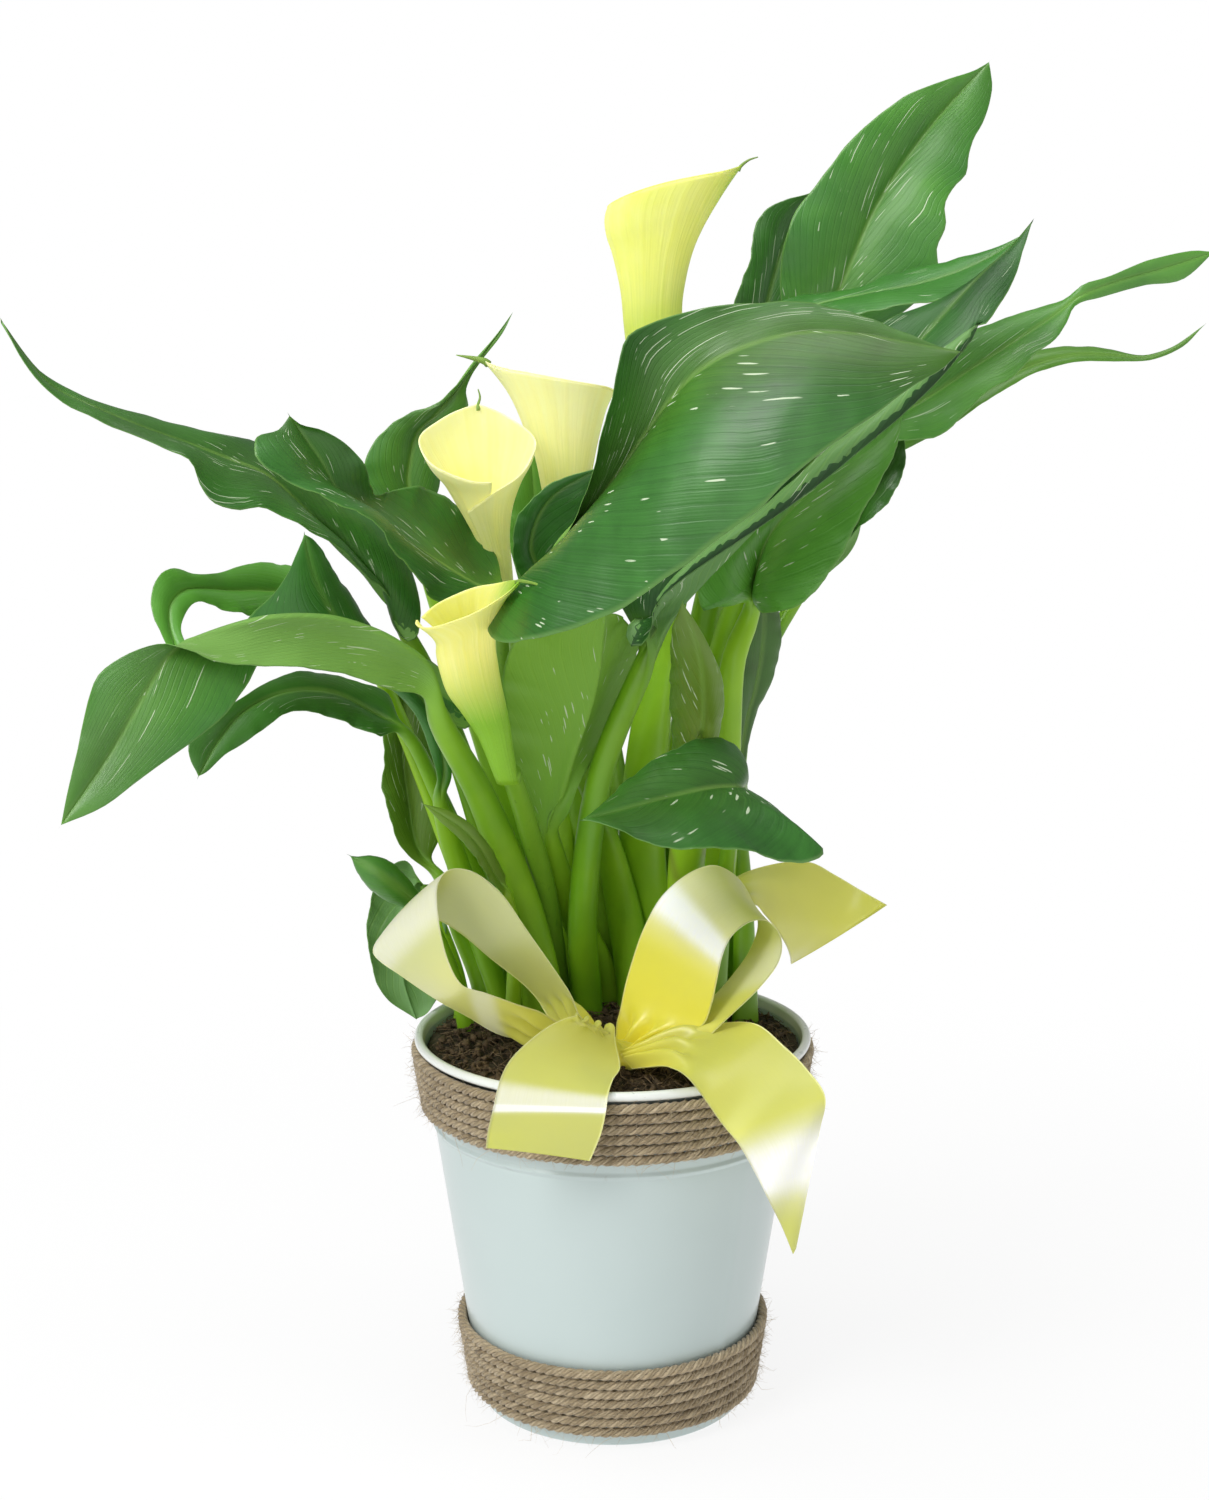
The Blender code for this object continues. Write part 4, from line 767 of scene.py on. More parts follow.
        "stalk": [(-0.025, 0.056, 0.120), (-0.028, 0.058, 0.150), (-0.046, 0.066, 0.225), (-0.064, 0.067, 0.280),
                  (-0.073, 0.067, 0.310)],
        "rib": [(409, 490, 67), (410, 460, 67), (418, 432, 67), (436, 414, 66), (454, 392, 65), (472, 367, 63),
                (490, 344, 61), (513, 312, 60)],
        "left": [(390, 518, 66), (370, 495, 62), (363, 468, 60), (373, 444, 60), (390, 425, 61), (411, 412, 62),
                 (431, 408, 63), (447, 396, 63), (465, 375, 62), (481, 354, 61), (500, 331, 60)],
        "right": [(420, 520, 69), (438, 492, 70), (442, 465, 70), (446, 443, 70), (458, 424, 69), (468, 408, 68),
                  (466, 391, 66), (471, 377, 64), (483, 359, 62), (502, 334, 60)],
        "bulge": (0.14, 0.14), "radius": (0.0038, 0.0026),
        "looks": (0.3, -0.8, 0), "wave": (0.0005, 2), "tint": (0.48, 0.2, 0.6),
    },
    "leaf_bright_centre": {
        "stalk": [(-0.021, 0.037, 0.120), (-0.021, 0.036, 0.150), (-0.020, 0.036, 0.200), (-0.021, 0.042, 0.240),
                  (-0.026, 0.047, 0.285)],
        "rib": [(537, 556, 46), (534, 498, 45), (530, 449, 44)],
        "left": [(526, 600, 46), (513, 560, 44), (508, 530, 43), (513, 495, 43), (521, 466, 43)],
        "right": [(554, 600, 48), (561, 565, 48), (560, 530, 47), (552, 495, 46), (540, 466, 45)],
        "bulge": (0.12, 0.12), "radius": (0.0032, 0.0024),
        "looks": (-0.2, -0.8, 0), "sheath": 1.2, "wave": (0.0, 1), "tint": (0.85, 0.15, 0.0),
    },
    "leaf_pale_centre": {
        "stalk": [(-0.002, 0.036, 0.120), (-0.004, 0.035, 0.150), (-0.015, 0.024, 0.180), (-0.023, 0.008, 0.212)],
        "rib": [(560, 795, 0), (572, 755, -6), (588, 712, -13), (598, 672, -21), (604, 612, -34)],
        "right": [(538, 835, 6), (524, 803, 2), (515, 768, -4), (508, 722, -14), (503, 682, -26), (512, 645, -36),
                  (540, 620, -43), (572, 608, -42)],
        "left": [(568, 815, -2), (582, 775, 3), (602, 745, 8), (619, 712, 11), (632, 680, 11), (636, 645, 4),
                 (624, 618, -14)],
        "bulge": (0.10, 0.06), "radius": (0.0045, 0.0036),
        "looks": (0.3, 0.8, 0), "wave": (0.0005, 2), "tint": (0.60, 0.4, 0.4),
    },
    "leaf_dark_centre": {
        "stalk": [(-0.005, 0.048, 0.120), (-0.006, 0.046, 0.150), (-0.011, 0.036, 0.220), (-0.019, 0.020, 0.275),
                  (-0.021, 0.008, 0.300)],
        "rib": [(540, 572, 2), (530, 545, -2), (540, 512, -6), (560, 490, -9), (600, 468, -10)],
        "left": [(528, 585, 0), (514, 560, -6), (514, 530, -10), (524, 508, -12), (545, 488, -13), (570, 476, -12)],
        "right": [(555, 590, 6), (575, 560, 6), (585, 530, 4), (595, 500, -2)],
        "bulge": (0.16, 0.10), "radius": (0.0036, 0.0026),
        "looks": (-0.3, -0.8, 0), "sheath": 1.5, "wave": (0.0, 1), "tint": (0.32, 0.0, 0.1),
    },
    "leaf_top_right": {
        "stalk": [(0.021, 0.058, 0.120), (0.022, 0.057, 0.150), (0.026, 0.054, 0.220), (0.038, 0.053, 0.300),
                  (0.056, 0.052, 0.362)],
        "rib": [(817, 330, 52), (838, 292, 52), (854, 255, 52), (870, 218, 53), (893, 178, 54), (922, 137, 55),
                (953, 100, 56), (989, 62, 55)],
        "left": [(792, 350, 50), (782, 318, 48), (780, 285, 46), (783, 250, 45), (794, 216, 45), (813, 189, 46),
                 (835, 159, 47), (860, 131, 48), (886, 110, 50), (914, 92, 52), (945, 80, 54), (973, 71, 55)],
        "right": [(850, 345, 52), (885, 325, 50), (920, 298, 48), (937, 270, 46), (937, 247, 45), (946, 226, 45),
                  (945, 206, 46), (953, 188, 47), (966, 174, 48), (969, 155, 49), (974, 138, 50), (985, 117, 52),
                  (992, 90, 54), (991, 74, 55)],
        "bulge": (0.10, 0.10), "radius": (0.0042, 0.0032),
        "looks": (-0.3, -0.8, 0), "sheath": 1.2, "wave": (0.0006, 3), "tint": (0.60, 0.12, 0.5),
    },
    "leaf_top_right_rear": {
        "stalk": [(0.032, 0.054, 0.120), (0.032, 0.054, 0.150), (0.034, 0.070, 0.230), (0.040, 0.080, 0.310),
                  (0.047, 0.085, 0.364)],
        "rib": [(762, 322, 86), (772, 282, 87), (784, 244, 88), (803, 208, 89), (836, 172, 88)],
        "left": [(742, 335, 84), (732, 312, 82), (741, 284, 81), (750, 258, 81), (755, 232, 82), (764, 212, 83),
                 (782, 201, 85), (812, 192, 87)],
        "right": [(790, 335, 88), (806, 300, 90), (815, 262, 90), (824, 222, 90), (832, 194, 89)],
        "bulge": (0.14, 0.10), "radius": (0.0032, 0.0024),
        "looks": (-0.2, -0.9, 0), "sheath": 1.3, "wave": (0.0005, 2), "tint": (0.25, 0.05, 0.2),
    },
    "leaf_long_right": {
        "stalk": [(-0.008, 0.024, 0.120), (-0.010, 0.020, 0.150), (-0.011, 0.008, 0.186), (-0.005, 0.001, 0.235),
                  (0.009, -0.003, 0.273)],
        "rib": [(672, 610, -8), (725, 555, -13), (783, 495, -18), (838, 435, -18), (890, 375, -16), (940, 318, -12),
                (985, 270, -10), (1012, 245, -8), (1031, 222, -8)],
        "left": [(616, 594, -2), (632, 550, -2), (690, 480, -6), (762, 405, -8), (825, 350, -6), (880, 322, -4),
                 (935, 300, -4), (980, 275, -6), (1006, 252, -8)],
        "right": [(634, 618, -8), (625, 628, -12), (630, 645, -16), (645, 636, -18), (658, 612, -20), (675, 592, -22),
                  (722, 558, -26), (762, 532, -30), (806, 500, -34), (852, 463, -36), (900, 424, -36), (938, 387, -32),
                  (963, 357, -28), (985, 326, -24), (1003, 296, -20), (1016, 272, -16), (1023, 250, -12),
                  (1027, 238, -10)],
        "hem": ("right", 0.0085, 0.18, 0.72), "bulge": (0.10, 0.12), "radius": (0.0062, 0.0042),
        # its very low tone is painted shade: the leaf lies in shadow under the front leaf
        "looks": (0.3, -0.8, 0.2), "sheath": 0.0, "wave": (0.0006, 3), "tint": (0.08, 0.0, 0.3),
    },
    "leaf_upper_right": {
        "stalk": [(0.018, 0.032, 0.120), (0.018, 0.031, 0.150), (0.011, 0.030, 0.200), (0.017, 0.029, 0.270),
                  (0.034, 0.028, 0.345)],
        "rib": [(775, 322, 27), (815, 305, 26), (862, 295, 25), (915, 285, 22), (960, 271, 19), (995, 254, 17),
                (1024, 234, 16)],
        "left": [(752, 325, 34), (778, 304, 36), (815, 295, 38), (855, 289, 38), (885, 276, 36), (918, 266, 32),
                 (950, 261, 26), (982, 252, 21), (1004, 244, 18)],
        "right": [(790, 345, 18), (830, 330, 12), (862, 316, 8), (898, 305, 4), (935, 301, 3), (962, 296, 4),
                  (984, 282, 8), (1003, 258, 13)],
        "bulge": (0.12, 0.10), "radius": (0.0044, 0.0032),
        "looks": (-0.3, -0.8, 0), "sheath": 2.0, "wave": (0.0004, 2), "tint": (0.42, 0.0, 0.25),
    },
    "leaf_front_right": {
        "stalk": [(0.010, 0.026, 0.120), (0.009, 0.027, 0.150), (0.002, 0.026, 0.190), (-0.010, 0.019, 0.235),
                  (-0.020, 0.000, 0.266), (-0.025, -0.022, 0.288), (-0.025, -0.040, 0.302)],
        "rib": [(558, 556, -50), (580, 527, -56), (603, 496, -62), (628, 461, -67), (650, 428, -72), (672, 398, -77),
                (700, 370, -81), (738, 349, -85), (792, 333, -90), (850, 332, -94), (905, 341, -97), (960, 351, -98)],
        "left": [(541, 574, -46), (560, 549, -56), (577, 518, -64), (590, 480, -71), (600, 442, -77), (610, 402, -83),
                 (617, 368, -86), (627, 337, -86), (650, 324, -83), (682, 313, -80), (728, 304, -78), (779, 300, -78),
                 (823, 306, -80), (865, 317, -84), (903, 332, -90), (938, 346, -96)],
        "right": [(525, 590, -46), (502, 605, -49), (489, 625, -56), (492, 638, -64), (510, 641, -73), (540, 637, -85),
                  (575, 627, -91), (606, 614, -95), (640, 597, -99), (680, 570, -103), (721, 537, -106),
                  (760, 508, -108), (798, 471, -109), (830, 444, -109), (872, 416, -107), (912, 387, -104),
                  (942, 369, -101)],
        "bulge": (-0.10, 0.10), "radius": (0.0046, 0.0036),
        "looks": (-0.2, -0.8, 0), "wave": (0.0005, 2), "tint": (0.27, 0.20, 0.8),
    },
    "leaf_far_right": {
        "stalk": [(0.026, 0.047, 0.120), (0.027, 0.046, 0.150), (0.032, 0.044, 0.220), (0.045, 0.044, 0.290),
                  (0.071, 0.044, 0.335)],
        "rib": [(885, 425, 46), (935, 393, 48), (982, 362, 50), (1025, 335, 52), (1056, 314, 54), (1080, 296, 56),
                (1118, 281, 56), (1165, 268, 55), (1214, 252, 54)],
        "left": [(850, 432, 50), (880, 390, 52), (930, 350, 54), (982, 326, 56), (1020, 314, 58), (1062, 300, 58),
                 (1084, 284, 56), (1108, 277, 55), (1150, 260, 54), (1190, 251, 54)],
        "right": [(862, 460, 40), (898, 441, 36), (935, 437, 36), (962, 417, 37), (985, 395, 38), (1014, 374, 40),
                  (1034, 352, 43), (1052, 343, 46), (1066, 324, 50), (1076, 305, 55), (1102, 297, 58), (1142, 286, 57),
                  (1182, 280, 56)],
        "bulge": (0.12, 0.14), "radius": (0.0042, 0.0030),
        "looks": (-0.3, -0.8, 0.2), "wave": (0.0005, 3), "tint": (0.70, 0.1, 0.3),
    },
    "leaf_far_right_low": {
        "stalk": [(0.040, 0.042, 0.120), (0.040, 0.044, 0.150), (0.041, 0.056, 0.230), (0.058, 0.068, 0.300),
                  (0.095, 0.080, 0.340)],
        "rib": [(940, 412, 86), (985, 388, 91), (1030, 366, 95), (1072, 355, 98), (1110, 355, 100), (1147, 357, 100),
                (1180, 344, 100), (1204, 325, 100)],
        "left": [(925, 400, 90), (970, 374, 94), (1015, 357, 98), (1052, 348, 101), (1078, 346, 103), (1110, 349, 103),
                 (1142, 355, 102), (1172, 347, 101)],
        "right": [(945, 428, 82), (985, 402, 86), (1015, 383, 90), (1042, 370, 93), (1075, 362, 96), (1110, 361, 98),
                  (1148, 360, 99), (1182, 347, 100)],
        "bulge": (0.14, 0.14), "radius": (0.0038, 0.0026),
        "looks": (-0.3, -0.8, 0.2), "wave": (0.0004, 3), "tint": (0.62, 0.25, 0.1),
    },
    "leaf_broad_right": {
        "stalk": [(0.034, 0.026, 0.120), (0.035, 0.025, 0.150), (0.040, 0.022, 0.200), (0.042, 0.018, 0.245),
                  (0.044, 0.015, 0.276), (751, 612, 20)],
        "rib": [(757, 570, 12), (770, 535, 8), (795, 505, 8), (832, 470, 11), (870, 438, 15), (903, 412, 18)],
        "left": [(738, 611, 12), (716, 608, 6), (704, 611, 4), (698, 590, 10), (706, 555, 16), (740, 512, 18),
                 (795, 462, 18), (850, 425, 18)],
        "right": [(758, 613, 6), (774, 612, -4), (794, 607, -10), (818, 590, -13), (836, 562, -12), (850, 536, -10),
                  (866, 506, -6), (884, 476, 0), (896, 445, 8)],
        "bulge": (0.12, 0.14), "radius": (0.0046, 0.0034),
        "looks": (-0.3, -0.8, 0), "wave": (0.0006, 3), "tint": (0.90, 0.1, 0.6),
    },
    "leaf_rear_right": {
        "stalk": [(0.046, 0.027, 0.120), (0.046, 0.029, 0.150), (0.045, 0.038, 0.200), (0.051, 0.048, 0.256),
                  (0.071, 0.054, 0.296)],
        "rib": [(846, 552, 55), (862, 510, 55), (880, 462, 55), (898, 420, 55)],
        "left": [(820, 560, 54), (830, 510, 52), (855, 455, 52)],
        "right": [(848, 538, 50), (872, 518, 48), (890, 500, 47), (901, 478, 47), (905, 450, 50), (903, 432, 53)],
        "bulge": (0.12, 0.14), "radius": (0.0036, 0.0026),
        "looks": (-0.3, -0.8, 0), "wave": (0.0005, 2), "tint": (0.18, 0.1, 0.1),
    },
    "leaf_upright_right": {
        "stalk": [(0.050, 0.014, 0.120), (0.050, 0.017, 0.150), (0.049, 0.024, 0.190), (0.047, 0.028, 0.222)],
        "rib": [(746, 725, 30), (755, 690, 31), (762, 650, 31), (764, 605, 30), (756, 570, 30)],
        "left": [(738, 730, 28), (734, 700, 26), (736, 655, 26), (742, 610, 28)],
        "right": [(754, 722, 32), (768, 690, 34), (779, 655, 35), (781, 622, 34), (774, 592, 32)],
        "bulge": (0.12, 0.12), "radius": (0.0032, 0.0024),
        "looks": (0.3, -0.8, 0), "wave": (0.0004, 2), "tint": (0.20, 0.2, 0.0),
    },
    "leaf_folded_centre": {
        "stalk": [(0.024, 0.014, 0.120), (0.024, 0.013, 0.150), (0.027, 0.005, 0.200), (0.030, -0.012, 0.248)],
        "rib": [(702, 727, -23), (703, 690, -32), (698, 650, -40), (682, 603, -45)],
        "left": [(675, 765, -10), (672, 730, -16), (670, 700, -22), (670, 665, -30), (672, 630, -38)],
        "right": [(712, 760, -12), (719, 735, -20), (724, 708, -26), (722, 678, -32), (712, 652, -38), (698, 626, -42)],
        "bulge": (0.10, 0.14), "radius": (0.0044, 0.0040),
        "looks": (0.5, 0.6, 0), "sheath": 1.3, "wave": (0.0004, 2), "tint": (0.75, 0.5, 0.3),
    },
    "leaf_small_front": {
        "stalk": [(0.038, 0.010, 0.120), (0.037, 0.008, 0.150), (0.039, 0.005, 0.178), (0.042, -0.008, 0.212),
                  (0.045, -0.027, 0.236)],
        "rib": [(742, 787, -40), (710, 788, -50), (672, 796, -59), (635, 806, -67), (605, 814, -72), (583, 819, -76)],
        "left": [(752, 800, -46), (790, 822, -52), (822, 850, -56), (812, 862, -60), (785, 862, -64), (755, 853, -70),
                 (725, 846, -76), (690, 849, -80), (660, 846, -81), (625, 834, -80), (600, 823, -78)],
        "right": [(748, 770, -30), (737, 748, -26), (722, 737, -26), (704, 737, -30), (680, 746, -36), (655, 760, -44),
                  (630, 777, -52), (608, 797, -62), (595, 810, -70)],
        "bulge": (0.10, 0.12), "radius": (0.0034, 0.0028),
        "looks": (-0.3, -0.8, 0.3), "wave": (0.0005, 2), "tint": (0.28, 0.1, 0.35),
    },
}

leafForm = {
    "blade": 0.00045, "ribAtTip": 0.0005, "ribTaper": 1.6, "ribRidge": 0.8, "ridgeWidth": 0.85,
    "groove": 0.16, "grooveWidth": 0.6, "thinned": 0.5, "stalkSteps": 30, "bladeSteps": 66, "stalkTurn": 84,
    "merge": 0.14, "veinLean": 0.55, "veinBend": 0.9,
    "faceStep": 0.45, "faceFrom": 7, "faceEases": 5, "rimNear": 0.005, "sheath": 0.85, "thread": 0.0016,
    "hem": {"opens": 0.12, "closes": 0.15, "crease": 0.62, "turn": 1.45, "rise": 0.35, "bow": 0.9, "lift": 0.12,
            "flatter": 0.8, "facesOver": 1.6, "facesOut": 0.3},
    "ripple": 0.0005, "rippleHalf": 0.012, "rippleStarts": (2.6, 0.9), "rippleEnd": 0.1, "rippleFade": 0.8,
    "ripplePower": 3, "beats": ((4, 7), (8, 13), (15, 22)),
    "across": (0.0, 0.03, 0.07, 0.13, 0.22, 0.34, 0.48, 0.62, 0.76, 0.88, 0.96, 1.0),
}
leafAcross = np.concatenate([-np.array(leafForm["across"][:0:-1]), leafForm["across"]])
leafPaint = {
    "dark": rgb(0.010, 0.065, 0.006), "mid": rgb(0.040, 0.190, 0.020), "light": rgb(0.105, 0.340, 0.036),
    "under": rgb(0.095, 0.250, 0.050), "underPale": rgb(0.17, 0.34, 0.11), "olive": rgb(0.15, 0.21, 0.012),
    "rib": rgb(0.22, 0.40, 0.07), "stalk": rgb(0.30, 0.56, 0.012), "stalkDark": rgb(0.085, 0.27, 0.008),
    # glow: a painted light colour, for leaf undersides lit through from behind
    "brown": rgb(0.14, 0.085, 0.03), "glow": rgb(0.22, 0.47, 0.015), "fleck": rgb(0.58, 0.68, 0.48),
    "margin": rgb(0.16, 0.34, 0.07), "fine": 0.0017, "broad": 0.0075,
}


def leafLook():
    paint = leafPaint
    look = Look("leaf", {"Coat Weight": 0.15, "Coat Roughness": 0.28, "IOR": 1.45,
                         "Subsurface Radius": (0.001, 0.002, 0.0005)})
    u, v = look.grid("grain")
    phase, wide = look.grid("veins")
    upper, tone, warm, flecks = [look.value(name) for name in ("upper", "tone", "warm", "flecks")]
    place = look.place()
    big = look.cloud(place, 26, 3)
    small = look.cloud(place, 140, 3)
    bend = look.cloud(place, 70, 2)
    run = phase + (bend - 0.5) * 0.0022
    side = abs(wide)
    wideHere = (side / (abs(u) + 0.001)).above(0.004, 0.014)
    fine = ((run * (2 * math.pi / paint["fine"])).sine() * 0.5 + 0.5) * wideHere
    broad = ((run * (2 * math.pi / paint["broad"])).sine() * 0.5 + 0.5).above(0.80, 1.0) * wideHere
    lines = (look.cloud(look.vector(run * 1300, wide * 45), 1.0, 2) - 0.5) * wideHere + 0.5
    rib = side.below(0.0003, 0.0016) * (1 - v * 0.75).clamped()
    # tone: each leaf's lightness, partly its own and partly painted light and shade; it also darkens the stalks of dark
    # leaves
    shade = tone + (big - 0.5) * 0.85 + (small - 0.5) * 0.22 + (lines - 0.5) * 0.24 + fine * 0.03 - broad * 0.04
    above = look.node("ShaderNodeValToRGB", {"stops": [
        (0.0, paint["dark"]), (0.5, paint["mid"]), (1.0, paint["light"])]}, [shade])
    olive = (warm - 0.2).clamped() * 0.8 + side.below(0.002, 0.028) * lines * warm * 1.8
    above = look.mix(olive.clamped(), above, paint["olive"])
    above = look.mix(rib * 0.6, above, paint["rib"])
    below = look.mix((big * 0.5 + lines * 0.5 + tone * 0.3 - 0.15).clamped(), paint["under"], paint["underPale"])
    below = look.mix(broad * 0.2, below, paint["rib"])
    # painted light: the underside turns towards a bright yellow-green, as if lit through, more for olive leaves
    below = look.mix(warm * 1.6, below, paint["glow"])
    blade = look.mix(upper, below, above)
    blade = look.mix(abs(u).above(0.965, 0.998) * 0.5, blade, paint["margin"])
    seeds = look.node("ShaderNodeTexVoronoi", {}, {"Vector": look.vector(run * 300, wide * 125), "Scale": 1.0})
    crowd = look.cloud(place, 75, 2, 0.5) + flecks * 0.13 + side.below(0.004, 0.03) * 0.14
    spots = wideHere * seeds.below(0.16, 0.21) * crowd.above(0.635, 0.675) * flecks.above(0.02, 0.3)
    blade = look.mix(spots * 0.85, blade, paint["fleck"])
    stalk = look.mix((big * 1.3 - 0.30 + (0.5 - tone) * 0.7).clamped(), paint["stalk"], paint["stalkDark"])
    stain = look.cloud(look.node("ShaderNodeMapping", {}, {0: place, 3: (1.0, 1.0, 0.22)}), 60, 4, 0.6)
    stalk = look.mix(stain.above(0.60, 0.75) * 0.55 * warm.above(0.1, 0.5), stalk, paint["brown"])
    colour = look.mix((v + lines * 0.03).above(-0.02, 0.16), stalk, blade)
    rough = 0.35 + small * 0.14 + (1 - upper) * 0.16 + spots * 0.2
    relief = fine * 0.15 - broad * 0.5 + lines * 0.25 + small * 1.6 + big * 4.0
    return look.feed(Base_Color=colour, Roughness=rough, Normal=look.bump(relief, 0.00016, 0.8))


def bladeFace(edges, along):                  # where the upper face looks: square to both margins
    form = leafForm
    face = np.cross(edges[1] - edges[0], along)
    for i in range(form["stalkSteps"] + form["faceEases"], len(face)):     # carried on where they are close
        face[i] = face[i - 1] * (1 - form["faceStep"]) + face[i] * form["faceStep"]
    face = unit(face)
    first = form["stalkSteps"] + form["faceFrom"]
    face[:first] = face[first]
    return square(face, along)


def turnHem(hemmed, turned, reachOut, gap, out, normal, bulge, top):       # the margin's strip, turned over
    hem = leafForm["hem"]
    part = max((reachOut - hem["crease"]) / (1 - hem["crease"]), 0.0)
    before = min(reachOut / hem["crease"], 1.0)
    rise = hem["rise"] * math.sin(part * math.pi * hem["bow"]) + hem["lift"] * part
    strip = gap * before + normal * (bulge * before * (1 - before * hem["flatter"]))[:, None]
    strip = strip - out * (math.sin(part * hem["turn"]) * turned)[:, None] + normal * (rise * turned)[:, None]
    over = hemmed * float(ease(part * hem["facesOver"]))
    if part > 0:
        normal = unit(normal * (1 - over) - (out * hem["facesOut"] + normal) * over)
    return top * (1 - hemmed) + strip * hemmed, normal


def leafPath(leaf):                           # even steps up the stalk, then along the midrib
    walk = fineCurve([spot(place) for place in leaf["stalk"] + leaf["rib"]])
    reach = walked(walk)
    foot = reach[fineSteps * (len(leaf["stalk"]) - 1)]
    wanted = np.concatenate([np.linspace(0, foot, leafForm["stalkSteps"] + 1)[:-1],
                             np.linspace(foot, reach[-1], leafForm["bladeSteps"] + 1)])
    return sample(wanted, reach, walk), wanted, foot


def leafMargins(leaf, path):                  # the same steps along both margins, which wait at the blade's foot
    edges = []
    for hand in ("left", "right"):
        places = [path[leafForm["stalkSteps"]]] + [spot(place) for place in leaf[hand]] + [path[-1]]
        rim = curve(places, leafForm["bladeSteps"])[0]
        edges.append(np.concatenate([np.repeat(rim[:1], leafForm["stalkSteps"], axis=0), rim]))
    return edges


def leafWaves(leaf, share, rand):             # how high each margin waves and ripples along the leaf
    form = leafForm
    starts = [[rand.uniform(0, 2 * math.pi) for beat in form["beats"]] for hand in (0, 1)]
    beats = [[rand.uniform(*beat) for beat in form["beats"]] for hand in (0, 1)]
    wave, waves = leaf["wave"]
    broad = [wave * np.sin(2 * math.pi * waves * share + start) for start in form["rippleStarts"]]
    fine = [sum(form["ripple"] / (1 + k * form["rippleFade"]) * np.sin(2 * math.pi * beat * share + start)
                for k, (start, beat) in enumerate(zip(starts[hand], beats[hand]))) for hand in (0, 1)]
    return broad, fine


def skinLeaf(name, rings, tip, grown, veins, length, tint, material):      # closed at the soil and at the tip
    rows, columns = rings.shape[:2]
    points = np.concatenate([rings.reshape(-1, 3), [tip]])
    faces = sheetFaces(rows, columns, True)
    faces.append(tuple(reversed(range(columns))))
    last = (rows - 1) * columns
    faces += [(last + k, last + (k + 1) % columns, len(points) - 1) for k in range(columns)]
    around = np.concatenate([leafAcross, leafAcross[::-1]])
    grain = np.stack([np.tile(around, (rows, 1)), np.repeat(grown[:, None], columns, axis=1)], axis=2)
    grids = {"grain": np.concatenate([grain.reshape(-1, 2), [[0, 1]]]),
             "veins": np.concatenate([veins.reshape(-1, 2), [[length, 0]]])}
    values = {"upper": np.append(np.tile(np.repeat([1.0, 0.0], len(leafAcross)), rows), 1.0)}
    values.update({part: np.full(len(points), much) for part, much in zip(("tone", "warm", "flecks"), tint)})
    return newMesh(name, points, faces, material, grids=grids, values=values)


def addLeaf(node, leaf, material):
    form = leafForm
    path, wanted, foot = leafPath(leaf)
    length = wanted[-1] - foot
    along = unit(np.gradient(path, wanted, axis=0))
    share = (wanted - foot) / length
    down = np.clip(wanted / foot, 0, 1)
    edges = leafMargins(leaf, path)
    bladeUp = bladeFace(edges, along)
    stalkUp = np.array(leaf["looks"]) * (1 - down)[:, None] + bladeUp[form["stalkSteps"]] * down[:, None]
    up = square(np.where((share <= 0)[:, None], stalkUp, bladeUp), along)
    side = np.cross(along, up)
    atSoil, atBlade = leaf["radius"]
    radius = np.where(share <= 0, atSoil + (atBlade - atSoil) * down,
                      form["ribAtTip"] + (atBlade - form["ribAtTip"]) * (1 - np.clip(share, 0, 1))**form["ribTaper"])
    sheath = radius * (1 + leaf.get("sheath", form["sheath"]) * (1 - down)**0.5)
    merged = ease(share / form["merge"])[:, None]
    broad, fine = leafWaves(leaf, share, random.Random(node))
    fade = ease(share / form["merge"]) * ease((1 - share) / form["rippleEnd"])
    hemSide, hemWide, hemFrom, hemTo = leaf.get("hem", ("none", 1, 0, 1))
    hem = form["hem"]
    turned = ease((share - hemFrom) / hem["opens"]) * (1 - ease((share - hemTo) / hem["closes"])) * hemWide
    hemmed = np.clip(turned / hemWide * 3, 0, 1)[:, None]
    upper, lower, phases, spans = [], [], [], []
    for u in leafAcross:                      # a line of points up each face, from the left margin to the right
        hand = 0 if u < 0 else 1
        reachOut = abs(u)
        turn = math.radians(form["stalkTurn"]) * u
        roundSide = side * (sheath * math.sin(turn))[:, None]
        roundUp = up * (radius * math.cos(turn))[:, None]
        gap = edges[hand] - path
        half = np.linalg.norm(gap, axis=1)
        out = unit(gap)
        firm = ease(half / form["rimNear"])[:, None]
        normal = unit(np.cross(out * (1 if hand else -1), along) * firm + up * (1.02 - firm))
        bulge = leaf["bulge"][hand] * half * 4
        top = gap * reachOut + normal * (bulge * reachOut * (1 - reachOut))[:, None]
        if hemSide == ("left", "right")[hand]:
            top, normal = turnHem(hemmed, turned, reachOut, gap, out, normal, bulge, top)
        calm = fade * np.minimum(half / form["rippleHalf"], 1.0)
        height = (broad[hand] * u * u + fine[hand] * reachOut**form["ripplePower"]) * calm
        top = top + normal * height[:, None]
        span = half * reachOut
        ridge = form["ribRidge"] * radius * np.exp(-(span / (radius * form["ridgeWidth"]))**2)
        groove = form["groove"] * radius * np.exp(-(span / (radius * form["grooveWidth"]))**2)
        thick = form["blade"] * (1 - form["thinned"] * u * u) + ridge
        mid = normal if u else up
        top = top - mid * groove[:, None]
        bottom = top - mid * (thick - groove)[:, None]
        upper.append(path + (roundSide + roundUp) * (1 - merged) + top * merged)
        lower.append(path + (roundSide - roundUp) * (1 - merged) + bottom * merged)
        phases.append(share * length - form["veinLean"] * length * reachOut**form["veinBend"])
        spans.append(np.where(share > 0, half * u, radius * u))
    rings = np.concatenate([upper, lower[::-1]]).transpose(1, 0, 2)        # along, around, place
    veins = np.stack([np.concatenate([part, part[::-1]]).T for part in (phases, spans)], axis=2)
    grown = np.where(share > 0, share, wanted / foot - 1)                  # -1 in the soil, 0 at the blade
    tip = path[-1] + along[-1] * form["thread"]
    dress(skinLeaf(pieceName(node, "Fine"), rings, tip, grown, veins, length, leaf["tint"], material), "leaf", node)


leafMaterial = leafLook()
for node, leaf in leaves.items():
    addLeaf(node, leaf, leafMaterial)
print("leaves grown:", len(leaves))


